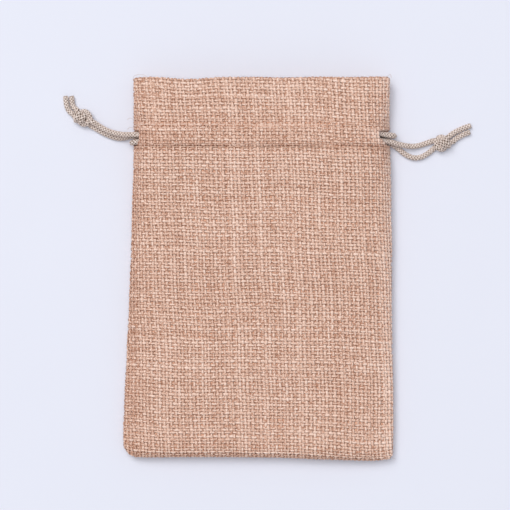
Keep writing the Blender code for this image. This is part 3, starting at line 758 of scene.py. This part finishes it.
def weave_threads(weave, settings, warp, threads, run, seed):
    """Corners, tones and kept sections of the warp or weft threads with these numbers."""
    random = np.random.default_rng(SEED + seed)
    own, other = np.meshgrid(np.arange(*threads), stations(*run), indexing="ij")
    across, down = weave.at(own, other) if warp else weave.at(other, own)
    from_fold = abs(down - strip().bottom)
    lift = settings.thickness / MM / 2
    is_over = (own + np.round(other)).astype(int) % 2 == warp
    height = lift * np.where(is_over, 1.0, -1.0)
    count, length = own.shape
    thick = 1 + SPREAD * weave.uneven * random.normal(size=(count, 1))
    thick = thick + weave.uneven * SWELL * wander(random, count, length, 8)
    thick = thick * (1 + GRAIN * random.normal(size=own.shape))
    thick = thick * (1 - FOLD_THINNING * ease(FOLD_REACH, 1.0, from_fold))
    thick = np.clip(thick, *THICKNESS_RANGE)[..., None]
    stray = ASIDE * wander(random, count, length, 3)[..., None]
    width = (settings.warp_width if warp else settings.weft_width) / MM / 2
    turns = section_turns(TUBE_SIDES)
    aside = width * thick * np.cos(turns) + stray
    rise = height[..., None] + lift * np.clip(thick, *HEIGHT_RANGE) * np.sin(turns)
    places = [across[..., None], down[..., None]]
    places[0 if warp else 1] = places[0 if warp else 1] + aside
    corners = strip().place(*places, rise)
    flash = np.clip(wander(random, count, length, 26) - RAREST, 0, 1)
    tone = THREAD_TONE + BY_THREAD * random.normal(size=(count, 1)) + FLASH * flash
    tone = tone + ALONG_THREAD * wander(random, count, length, 12)
    tone = tone + ALONG_THREAD * wander(random, count, length, 2)
    # Painted light and shade: lighter where a thread passes over, darker where it passes under, more so near
    # the bottom fold, and the painted light and shade of the sides, fold, rims, stitch rows and channel
    contrast = 1 + FOLD_CONTRAST * ease(FOLD_REACH, 2.0, from_fold)
    tone = tone + OVER_UNDER_LIGHT_AND_SHADE * (is_over - 0.5) * contrast + painted_light_and_shade_of(across, down)
    # Painted highlight along each thread's top and painted shade down its sides, with a random tone at each
    # corner
    tone = tone[..., None] + CORNER_HIGHLIGHT_AND_SHADE + BY_CORNER * random.normal(size=corners.shape[:3])
    kept = strip().over(across, down) < (WARP_PAST if warp else WEFT_PAST)
    return corners, tone, kept


def new_object(name, data):
    """An object in the scene, at the origin."""
    obj = bpy.data.objects.new(name, data)
    bpy.context.scene.collection.objects.link(obj)
    return obj


def link(name, data, materials):
    """A finished piece at the origin that moves with the pouch."""
    obj = new_object(name, data)
    for material in materials:
        data.materials.append(material)
    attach(obj, "root")
    return obj


def bundle(name, corners, tone, kept=None, own_map=True):
    """A mesh of many closed tubes: grids rolled up. The tone goes by tube, section and, if given, corner."""
    tubes, sections, sides = corners.shape[:3]
    grid = bmesh.new()
    bmesh.ops.create_grid(grid, x_segments=sides, y_segments=sections - 1, size=1.0)
    data = bpy.data.meshes.new(name)
    grid.to_mesh(data)
    grid.free()
    whole = bmesh.new()
    for _ in range(tubes):
        whole.from_mesh(data)
    whole.to_mesh(data)
    whole.free()
    flat = np.empty(len(data.vertices) * 3)
    data.vertices.foreach_get("co", flat)
    flat = flat.reshape(-1, 3)
    tube = np.repeat(np.arange(tubes), (sides + 1) * sections)
    side = np.round((flat[:, 0] + 1) / 2 * sides).astype(int)
    section = np.round((flat[:, 1] + 1) / 2 * (sections - 1)).astype(int)
    points = corners[tube, section, side % sides] * MM
    data.vertices.foreach_set("co", points.astype(np.float32).ravel())
    tones = np.broadcast_to(tone if tone.ndim == 3 else tone[..., None], corners.shape[:3])
    values = {"tone": tones[tube, section, side % sides], "tube": tube, "off": np.zeros(len(tube))}
    if kept is not None:
        values["off"] = ~kept[tube, section]
    for key, value in values.items():
        layer = data.attributes.new(key, "FLOAT", "POINT")
        layer.data.foreach_set("value", value.astype(np.float32))
    if own_map:
        corner = np.empty(len(data.loops), np.int32)
        data.loops.foreach_get("vertex_index", corner)
        u = (tube + BAKE_MARGIN + (1 - 2 * BAKE_MARGIN) * side / sides) / tubes
        v = 0.98 * section / (sections - 1)
        layer = data.uv_layers.new(name="OFBake")
        layer.data.foreach_set("uv", np.stack([u[corner], v[corner]], 1).astype(np.float32).ravel())
    close_tubes(data, tubes, sides, own_map)
    return data


def add_tubes(name, tubes, finish, own_map=True):
    return link(name, bundle(name, *tubes, own_map=own_map), [finish])


def close_tubes(data, tubes, sides, own_map):
    """Takes off the unwanted sections, joins each tube along its length and fills its ends."""
    mesh = bmesh.new()
    mesh.from_mesh(data)
    off = mesh.verts.layers.float["off"]
    bmesh.ops.delete(mesh, geom=[v for v in mesh.verts if v[off] > 0.5], context="VERTS")
    bmesh.ops.delete(mesh, geom=[v for v in mesh.verts if not v.link_faces], context="VERTS")
    bmesh.ops.remove_doubles(mesh, verts=mesh.verts, dist=1e-8)
    for face in mesh.faces:
        face.smooth = True
    caps = bmesh.ops.holes_fill(mesh, edges=mesh.edges[:], sides=sides)["faces"]
    for cap in caps:
        cap.smooth = True
        for edge in cap.edges:
            edge.smooth = False
    if own_map:
        map_caps(mesh, caps, tubes)
    bmesh.ops.recalc_face_normals(mesh, faces=mesh.faces)
    mesh.to_mesh(data)
    mesh.free()
    for key in ("off", "tube"):
        data.attributes.remove(data.attributes[key])


def map_caps(mesh, caps, tubes):
    """Places the end faces on the tubes' own map, in a strip past the tubes' sides."""
    layer = mesh.loops.layers.uv["OFBake"]
    tube = mesh.verts.layers.float["tube"]
    placed = {}
    for cap in caps:
        number = round(cap.verts[0][tube])
        placed[number] = placed.get(number, -1) + 1
        u, v = (number + 0.5) / tubes, 0.986 + 0.008 * (placed[number] % 2)
        for k, loop in enumerate(cap.loops):
            turn = 2 * math.pi * k / len(cap.loops)
            loop[layer].uv = u + 0.35 / tubes * math.cos(turn), v + 0.003 * math.sin(turn)


def section_turns(sides):
    """Angles of a tube's corners, from its top."""
    return math.pi / 2 + np.arange(sides) * 2 * math.pi / sides


def tubes_along(lines, up, half_width, half_height, sides=TUBE_SIDES):
    """Section corners of tubes on these lines, flattened towards the up directions."""
    run = unit(np.gradient(lines, axis=1))
    beside = unit(np.cross(run, up))
    over = unit(np.cross(beside, run))
    turns = section_turns(sides)[:, None]
    width, height = (
        np.broadcast_to(value, lines.shape[:2])[..., None, None] for value in (half_width, half_height)
    )
    aside, rise = beside[:, :, None] * width * np.cos(turns), over[:, :, None] * height * np.sin(turns)
    return lines[:, :, None] + aside + rise


def smooth_line(points, step):
    """Points evenly spaced on a smooth curve through these points."""
    pins = np.array(points, float)
    pins = np.concatenate([[2 * pins[0] - pins[1]], pins, [2 * pins[-1] - pins[-2]]])
    t = (np.arange(FINE_STEPS) / FINE_STEPS)[:, None]
    fine = [
        0.5 * (2 * b + (c - a) * t + (2 * a - 5 * b + 4 * c - d) * t**2 + (3 * b - a - 3 * c + d) * t**3)
        for a, b, c, d in zip(pins, pins[1:], pins[2:], pins[3:])
    ]
    fine = np.concatenate([*fine, pins[-2:-1]])
    run = run_of(fine)
    count = max(2, round(run[-1] / step) + 1)
    spots = np.linspace(0, run[-1], count)
    return np.stack([np.interp(spots, run, fine[:, k]) for k in range(3)], axis=1)


def sideways(line):
    """A direction square to the line at each of its points, that turns no more than it has to."""
    run = unit(np.gradient(line, axis=0))
    found = [unit(np.cross(run[0], (0.0, 0.0, 1.0)))]
    for direction in run[1:]:
        found.append(unit(found[-1] - direction * np.dot(found[-1], direction)))
    return run, np.array(found)


def knot_strands(cord):
    """The two strands' points inside a knot, each from the drawcord's end to its tail."""
    turn = math.radians(cord.turn)
    ahead = np.array((math.cos(turn), math.sin(turn), 0.0))
    left = np.array((-math.sin(turn), math.cos(turn), 0.0)) * math.copysign(1, cord.width)
    up = np.array((0.0, 0.0, 1.0))
    pairs = [np.array((cord.route[0], cord.route[-1]))]
    for along, across, height, spread in KNOT_PATH:
        place = np.array(cord.knot) + ahead * along * cord.stretch
        place = place + left * across * abs(cord.width) + up * height
        aside = ahead * math.cos(math.radians(spread)) + left * math.sin(math.radians(spread))
        pairs.append(place + np.array((aside, -aside)) * PAIR_HALF)
    pairs.append(np.array([tail[0] for tail in cord.tails]))
    return [[pair[strand] for pair in pairs] for strand in (0, 1)]


def braid(points, settings, seed, filled):
    """Corners and tones of the strands plaited round this line, and of a core inside them if filled, darkened
    as painted shade between the strands.
    """
    lay = settings.lay / MM
    crossing = lay / (2 * STRANDS)
    line = smooth_line(points, crossing / 4)
    run = run_of(line)
    count = int(run[-1] / crossing)
    places = (np.arange(count)[:, None] + np.array((0.25, 0.75))).ravel() * crossing
    centre = np.stack([np.interp(places, run, line[:, k]) for k in range(3)], axis=1)
    direction, beside = sideways(centre)
    above = np.cross(direction, beside)
    radius = settings.diameter / MM / 2
    wave = np.where((places / crossing).astype(int) % 2 == 0, 1.0, -1.0)
    random = np.random.default_rng(SEED + seed)
    lines, ups, tones = [], [], []
    for way in (1, -1):
        for strand in range(STRANDS):
            phase = 2 * math.pi * way * (places - crossing / 2) / lay + strand * 2 * math.pi / STRANDS
            out = beside * np.cos(phase)[:, None] + above * np.sin(phase)[:, None]
            lines.append(centre + out * (STRAND_OUT * radius + STRAND_WAVE * radius * way * wave)[:, None])
            ups.append(out)
            # Painted light where a strand passes over, painted shade where it passes under
            tones.append(BRAID_TONE + BRAID_OVER_LIGHT_AND_SHADE * way * wave + BRAID_GRAIN * random.normal(size=len(places)))
    corners = tubes_along(np.array(lines), np.array(ups), STRAND_WIDTH * radius, STRAND_HEIGHT * radius)
    # Painted highlight on each strand's outer face, painted shade on its inner side
    tones = np.array(tones)[..., None] + BRAID_ROUND_HIGHLIGHT_AND_SHADE * np.sin(section_turns(TUBE_SIDES))
    if filled:
        core = tubes_along(centre[None], above[None], BRAID_CORE * radius, BRAID_CORE * radius)
        corners = np.concatenate([corners, core])
        # Painted shade: the core is darker where it shows between the strands
        tones = np.concatenate([tones, np.full(core.shape[:3], CORE_PAINTED_SHADE)])
    return corners, tones


def cut_ends(cord, settings, seed):
    """Corners and tones of the filaments that stand out of the cut ends of a drawcord's tails."""
    random = np.random.default_rng(SEED + seed)
    radius = settings.diameter / MM / 2
    lines = []
    for tail in cord.tails:
        end = np.array(tail[-1])
        out = unit(end - np.array(tail[-2]))
        beside = unit(np.cross(out, (0.0, 0.0, 1.0)))
        above = np.cross(beside, out)
        for _ in range(FILAMENTS):
            turn, off = random.uniform(0, 2 * math.pi), radius * 0.86 * math.sqrt(random.uniform())
            aside = (beside * math.cos(turn) + above * math.sin(turn)) * off
            long = random.uniform(*FILAMENT_LENGTHS)
            splay = aside * random.uniform(0.0, 0.35) * long
            root, reach = end + aside * 0.9, out * long
            middle, tip = root + reach * 0.6 + splay * 0.5, root + reach + splay
            lines.append([root - out * 0.5, root - out * 0.1, middle, tip])
    lines = np.array(lines)
    lines[..., 2] = np.maximum(lines[..., 2], 0.1)
    up = np.broadcast_to((0.3, 0.2, 1.0), lines.shape)
    corners = tubes_along(lines, up, half_width=0.10, half_height=0.08, sides=4)
    return corners, even_tones(random.uniform(0.3, 0.9, len(lines)), lines)


def even_tones(tones, lines):
    """One tone for the whole of each line."""
    return np.broadcast_to(np.array(tones)[:, None], lines.shape[:2])


def add_core(cord, settings, material):
    """The free cord itself, on the whole route that the CAD part gives it, and its length."""
    curve = bpy.data.curves.new(f"drawcord_core_{cord.side}", "CURVE")
    curve.dimensions = "3D"
    curve.bevel_depth = ROUTE_CORE * settings.diameter / 2
    curve.bevel_resolution = 2
    curve.use_fill_caps = True
    points = smooth_line(cord.route, 1.0) * MM
    spline = curve.splines.new("POLY")
    spline.points.add(len(points) - 1)
    for point, place in zip(spline.points, points):
        point.co = (*place, 1.0)
    obj = link(curve.name, curve, [material])
    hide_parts(f"drawcord_{cord.side}")
    return obj, float(run_of(points)[-1])


class POUCH_OT_drawcords(bpy.types.Operator):
    """Two braided drawcords with their knots and tails"""

    bl_idname = "pouch.drawcords"
    bl_label = "Drawcords"

    def execute(self, context):
        settings = context.scene.pouch_cord
        core_finish, finish = core_material(settings), braid_material(settings)
        for number, cord in enumerate(DRAWCORDS):
            core, length = add_core(cord, settings, core_finish)
            inside = [k for k, place in enumerate(cord.route) if abs(place[0]) < CHANNEL_MOUTH]
            ends = (cord.route[: inside[0] + 1], cord.route[: inside[-1] - 1 : -1])
            parts = {
                letter: [*tail[::-1], *strand[-2:0:-1], *end]
                for letter, tail, strand, end in zip("ab", cord.tails, knot_strands(cord), ends)
            }
            parts["loop"] = cord.route[cord.loop]
            made = {
                f"braid_{cord.side}_{part}": braid(points, settings, seed, filled=part != "loop")
                for seed, (part, points) in enumerate(parts.items(), 20 + 3 * number)
            }
            made[f"cut_ends_{cord.side}"] = cut_ends(cord, settings, 30 + number)
            pieces = [add_tubes(name, tubes, finish) for name, tubes in made.items()]
            for piece, letter in zip(pieces, "ab"):
                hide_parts(f"tail_{cord.side}_{letter}")
            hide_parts(f"knot_{cord.side}")
        return {"FINISHED"}


# Distances of the lining's rows past the turn of the rim, closest at the stitch rows
PAST_RIM = np.array((
    0.0, 1.0, 2.2, 4.0, 8.0, 12.0, 16.0, 17.4, 18.0, 18.5, 19.0, 19.4, 20.4, 22.0, 23.6, 24.6, 25.0, 25.5,
    26.0, 26.6, 28.0,
))
LINING_COLUMNS = 56
# Depths of its outer and inner face under the threads' middle: at a rim, more elsewhere, more at the fold
OUTER_DEPTHS, INNER_DEPTHS = (0.08, 0.12, 0.25), (0.18, 0.32, 0.20)


def lining_rows():
    """Places down the strip, from the inner edge of the front hem to that of the back one."""
    cloth = strip()
    turn = np.linspace(0, RIM_TURN * math.pi, 8)[1:-1]
    front = np.concatenate([
        RIM_TUCK - PAST_RIM[::-1] - RIM_TURN * math.pi, RIM_TUCK - turn[::-1], RIM_TUCK + PAST_RIM,
        np.linspace(RIM - HEM_EDGE + 2, cloth.bottom - 8, 34),
        np.linspace(cloth.bottom - 7, cloth.bottom, 12),
    ])
    return np.concatenate([front, cloth.length - front[-2::-1]])


def lining_across(part, down):
    """How far across the cloth its lining is, at these parts of the way from the middle to an edge."""
    across = np.empty(len(part))
    for side, here, run in strip().sides(down):
        hem = run < RIM_TUCK
        base = np.where(hem, RIM_TUCK + np.maximum(RIM_TUCK - run - RIM_TURN * math.pi, 0), run)
        for slit in (False, True):
            pick = here & ((hem | side.front) == slit)
            edge = side.edge(part > 0, base, slit)
            across[pick] = (np.sin(part * math.pi / 2) * edge)[pick]
    return across


def lining_height(outer, down):
    """Heights of its two faces over the threads' middle."""
    cloth = strip()
    past_rim = ease(RIM_TUCK, 2.5, np.minimum(down, cloth.length - down))
    fold = ease(FOLD_REACH, 1.0, abs(down - cloth.bottom))
    depths = (rim + more * past_rim + deepest * fold for rim, more, deepest in (OUTER_DEPTHS, INNER_DEPTHS))
    return -np.where(outer, *depths)


def put_in_order(mesh):
    """Sorts edges and faces by their corners, because an extrusion makes them in another order each run."""
    mesh.verts.index_update()
    for parts in (mesh.edges, mesh.faces):
        ends = {part: (min(v.index for v in part.verts), max(v.index for v in part.verts)) for part in parts}
        parts.sort(key=lambda part: ends[part][0] * len(mesh.verts) + ends[part][1])


class POUCH_OT_lining(bpy.types.Operator):
    """The inner face of the cloth and its turned-in hems, as one thin closed sheet"""

    bl_idname = "pouch.lining"
    bl_label = "Inner cloth"

    def execute(self, context):
        settings = context.scene.pouch_cloth
        cloth, rows = strip(), lining_rows()
        mesh = bmesh.new()
        bmesh.ops.create_grid(mesh, x_segments=LINING_COLUMNS, y_segments=len(rows) - 1, size=1.0)
        found = bmesh.ops.extrude_face_region(mesh, geom=mesh.faces[:], use_keep_orig=True)["geom"]
        lifted = [item for item in found if isinstance(item, bmesh.types.BMVert)]
        bmesh.ops.translate(mesh, verts=lifted, vec=(0.0, 0.0, 1.0))
        flat = np.array([v.co for v in mesh.verts])
        down = rows[np.round((flat[:, 1] + 1) / 2 * (len(rows) - 1)).astype(int)]
        outer = flat[:, 2] > 0.5
        across = lining_across(flat[:, 0], down)
        points = cloth.place(across, down, lining_height(outer, down)) * MM
        for vert, point in zip(mesh.verts, points):
            vert.co = point
        layer = mesh.loops.layers.uv.new("Cloth")
        put_in_order(mesh)
        hemmed = np.minimum(down, cloth.length - down) < RIM_TUCK - 0.3
        for face in mesh.faces:
            face.smooth = True
            corners = [v.index for v in face.verts]
            face.material_index = 0 if outer[corners].all() and not hemmed[corners].all() else 1
            for loop in face.loops:
                loop[layer].uv = across[loop.vert.index] * MM, down[loop.vert.index] * MM
        bmesh.ops.recalc_face_normals(mesh, faces=mesh.faces)
        if mesh.calc_volume(signed=True) < 0:  # a sheet folded this thin can come out facing inwards
            bmesh.ops.reverse_faces(mesh, faces=mesh.faces)
        data = bpy.data.meshes.new("cloth_lining")
        mesh.to_mesh(data)
        mesh.free()
        data.set_sharp_from_angle(angle=math.radians(50))
        shades_of = {
            "burlap_gaps": ((0.1, dimmed(settings.gap, 0.9)), (0.9, settings.gap)),
            "burlap_inside": ((0.05, settings.gap), (0.75, settings.middle), (1.0, settings.light)),
        }
        materials = [lining_material(name, settings, *stops) for name, stops in shades_of.items()]
        lining = link("cloth_lining", data, materials)
        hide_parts("bag")
        return {"FINISHED"}


class POUCH_OT_weave(bpy.types.Operator):
    """All warp and weft threads of the front and the back"""

    bl_idname = "pouch.weave"
    bl_label = "Woven threads"

    def execute(self, context):
        settings = context.scene.pouch_cloth
        weave = Weave(settings)
        bottom = int(strip().bottom / weave.weft_pitch) - 1
        top = int((strip().length + 3) / weave.weft_pitch) + 2
        finishes = {
            "warp": yarn_material("burlap_warp", settings, (3300, 600, 3300), 1.7),
            "weft": yarn_material("burlap_weft", settings, (520, 3300, 3300), 2.9),
        }
        # Which threads there are, and between which threads of the other kind they run
        sets = (
            ("warp", "front", (-44, 39), (-3, bottom)),
            ("warp", "back", (-50, 33), (bottom + 1, top)),
            ("weft", "front", (-3, bottom + 1), (-44, 38)),
            ("weft", "back", (bottom + 1, top + 1), (-50, 32)),
        )
        for seed, (kind, face, threads, run) in enumerate(sets):
            tubes = weave_threads(weave, settings, kind == "warp", threads, run, seed)
            add_tubes(f"{kind}_threads_{face}", tubes, finishes[kind])
        return {"FINISHED"}


# A stitch from hole to hole: heights over the cloth's middle, and places along in parts of its length
STITCH_RISES = np.array((-0.2, 0.30, 0.44, 0.47, 0.44, 0.30, -0.2))
STITCH_SPOTS = np.array((-0.5, -0.46, -0.28, 0.0, 0.28, 0.46, 0.5))
STITCH_GAP, STITCH_SLOPE, LOWEST_STITCH = 0.4, 0.0044, 0.16


class POUCH_OT_stitching(bpy.types.Operator):
    """The two stitch rows of the channel, on the front and the back"""

    bl_idname = "pouch.stitching"
    bl_label = "Stitching"

    def execute(self, context):
        settings = context.scene.pouch_cloth
        cloth = strip()
        random = np.random.default_rng(SEED + 7)
        length = settings.stitch_length / MM
        lines, ups, tones = [], [], []
        for side in (cloth.front, cloth.back):
            for row, lightness in ((UPPER_STITCH, 0.9), (LOWER_STITCH, 0.5)):
                down = np.interp(row, side.rows, side.down)
                reach = float(side.edge(np.array(True), np.array(down), False)) - 2.0
                centres = np.arange(-reach, reach, length + STITCH_GAP)
                for centre in centres + random.normal(0, 0.06, len(centres)):
                    across = centre + STITCH_SPOTS * length
                    place = np.full(len(across), down + STITCH_SLOPE * centre + random.normal(0, 0.05))
                    height = STITCH_RISES * random.uniform(0.92, 1.05)
                    points = side.place(across, place, height)
                    ups.append(side.place(across, place, height + 1.0) - points)
                    points[:, 2] = np.maximum(points[:, 2], LOWEST_STITCH)
                    lines.append(points)
                    tones.append(lightness + random.uniform(-0.2, 0.1))
        lines = np.array(lines)
        corners = tubes_along(lines, np.array(ups), half_width=0.17, half_height=0.13, sides=4)
        add_tubes("stitches", (corners, even_tones(tones, lines)), stitch_material(settings))
        return {"FINISHED"}


# Thread ends and loops that hang off the cloth: points across, along and up
LOOSE_ENDS = (
    ((-44.6, 54.0, 8.6), (-45.4, 54.3, 8.1), (-46.1, 54.7, 7.2), (-46.9, 54.6, 6.4), (-47.5, 54.1, 6.1)),
    ((-44.6, 51.6, 8.0), (-45.4, 51.2, 7.7), (-46.2, 51.3, 7.0), (-46.9, 51.2, 6.0), (-47.5, 50.7, 5.2)),
    ((-45.4, 68.4, 7.6), (-45.1, 69.6, 8.4), (-44.2, 70.15, 9.0), (-42.6, 70.35, 9.6), (-41.2, 70.1, 9.9),
     (-40.2, 69.3, 10.2)),
    ((47.0, -68.2, 3.4), (48.3, -68.7, 3.0), (49.2, -68.9, 2.4), (49.9, -69.2, 1.6)),
    ((46.0, 69.2, 9.2), (46.9, 69.9, 9.1), (47.6, 70.4, 8.7), (48.0, 70.1, 8.2), (48.1, 69.2, 7.6)),
)
FIBRES, FIBRE_LENGTHS, FIBRE_RADIUS = 900, (0.7, 2.2), 0.035
AT_EDGE, EDGE = 0.35, 47.5  # the part of the fibres that is at the side edges, and where those are


def fibres(random):
    """Lines of the short fibres that stand off the cloth, and how far along a fibre their points are."""
    cloth = strip()
    down = random.uniform(0.6, cloth.length - 0.6, FIBRES)
    across = random.uniform(-1, 1, FIBRES)
    near_edge = random.uniform(size=FIBRES) < AT_EDGE
    across = np.where(near_edge, np.sign(across) * random.uniform(0.96, 1.0, FIBRES), across) * EDGE
    turn = random.uniform(0, 2 * math.pi, FIBRES)
    long = random.uniform(*FIBRE_LENGTHS, FIBRES)[:, None]
    bend = random.uniform(-0.9, 0.9, FIBRES)
    part = np.linspace(0, 1, 5)
    heading = turn[:, None] + bend[:, None] * part
    height = 0.35 + random.uniform(0.1, 0.55, (FIBRES, 1)) * np.sin(part * 2.2) * long**0.5
    run, rise = np.cos(heading) * long * part, np.sin(heading) * long * part
    lines = cloth.place(across[:, None] + run, down[:, None] + rise, height)
    return lines[lines[..., 2].min(axis=1) > 0.05], part


class POUCH_OT_loose_threads(bpy.types.Operator):
    """Loose thread ends, and the short fibres that stand off the cloth"""

    bl_idname = "pouch.loose_threads"
    bl_label = "Loose threads"

    def execute(self, context):
        finish = hair_material(context.scene.pouch_cloth)
        lines = [smooth_line(points, 0.1) for points in LOOSE_ENDS]
        lines = np.array([line[np.linspace(0, len(line) - 1, 12).astype(int)] for line in lines])
        up = np.broadcast_to((0.1, 0.2, 1.0), lines.shape)
        corners = tubes_along(lines, up, half_width=0.08, half_height=0.07)
        add_tubes("loose_ends", (corners, np.full(lines.shape[:2], 0.9)), finish)

        random = np.random.default_rng(SEED + 9)
        lines, part = fibres(random)
        up = np.broadcast_to((0.2, 0.3, 1.0), lines.shape)
        thin = np.broadcast_to(FIBRE_RADIUS * (1 - 0.6 * part), lines.shape[:2])
        corners = tubes_along(lines, up, thin, thin, sides=3)
        tones = even_tones(random.uniform(0.6, 1.0, len(lines)), lines)
        add_tubes("loose_fibres", (corners, tones), finish, own_map=False)
        return {"FINISHED"}


# name, place, size, share of the key light's power, colour
LIGHTS = (
    ("key_light", (-1.6, 2.0, 3.1), 1.7, 1.0, (1.0, 0.99, 0.98)),
    ("overhead_light", (-0.6, 0.8, 3.8), 3.2, 2.4, (1.0, 1.0, 1.0)),
)
SURROUNDINGS = 0.93, 0.95, 1.0, 1.0
VIEW_CENTRE, VIEW_LEVEL = (-0.0012, 0.0051), 0.004
FLOOR_HALF = 1.5


class POUCH_OT_stage(bpy.types.Operator):
    """The pale floor, the soft light and the camera straight above"""

    bl_idname = "pouch.stage"
    bl_label = "Stage"

    def execute(self, context):
        settings = context.scene.pouch_stage
        scene = context.scene
        mesh = bmesh.new()
        bmesh.ops.create_grid(mesh, x_segments=8, y_segments=8, size=FLOOR_HALF)
        data = bpy.data.meshes.new("floor")
        mesh.to_mesh(data)
        mesh.free()
        data.materials.append(floor_material(settings))
        new_object("floor", data)
        world = bpy.data.worlds.new("soft_surroundings")
        world.use_nodes = True
        background = world.node_tree.nodes["Background"]
        background.inputs["Color"].default_value = SURROUNDINGS
        background.inputs["Strength"].default_value = settings.sky
        scene.world = world
        for name, place, size, share, tint in LIGHTS:
            light = bpy.data.lights.new(name, "AREA")
            light.shape, light.size, light.energy, light.color = "DISK", size, settings.key * share, tint
            lamp = new_object(name, light)
            lamp.location = place
            lamp.visible_camera = False
            lamp.rotation_euler = (-Vector(place)).to_track_quat("-Z", "Y").to_euler()
        lens = bpy.data.cameras.new("camera")
        lens.sensor_width = 36.0
        lens.lens = lens.sensor_width * settings.height / settings.width
        lens.clip_end = 20.0
        scene.camera = new_object("camera", lens)
        scene.camera.location = (*VIEW_CENTRE, settings.height + VIEW_LEVEL)
        scene.view_settings.view_transform = "Standard"
        return {"FINISHED"}


OPERATORS = (
    POUCH_OT_stage,
    POUCH_OT_drawcords,
    POUCH_OT_weave,
    POUCH_OT_stitching,
    POUCH_OT_loose_threads,
    POUCH_OT_lining,
)


class POUCH_PT_panel(bpy.types.Panel):
    """Makes the pouch piece by piece"""

    bl_idname = "POUCH_PT_panel"
    bl_label = "Drawcord pouch"
    bl_space_type = "VIEW_3D"
    bl_region_type = "UI"
    bl_category = "Pouch"

    def draw(self, context):
        for name in ("pouch_stage", "pouch_cord", "pouch_cloth"):
            group = getattr(context.scene, name)
            box = self.layout.box()
            for key in type(group).__annotations__:
                box.prop(group, key)
        for operator in OPERATORS:
            self.layout.operator(operator.bl_idname)


GROUPS = {"pouch_cloth": PouchCloth, "pouch_cord": PouchCord, "pouch_stage": PouchStage}
CLASSES = (*GROUPS.values(), *OPERATORS, POUCH_PT_panel)


def register():
    for cls in CLASSES:
        bpy.utils.register_class(cls)
    for name, group in GROUPS.items():
        setattr(bpy.types.Scene, name, bpy.props.PointerProperty(type=group))


def unregister():
    for name in GROUPS:
        delattr(bpy.types.Scene, name)
    for cls in reversed(CLASSES):
        bpy.utils.unregister_class(cls)


def main():
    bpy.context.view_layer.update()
    register()
    for operator in OPERATORS:
        group, name = operator.bl_idname.split(".")
        getattr(getattr(bpy.ops, group), name)()


if __name__ == "__main__":
    main()
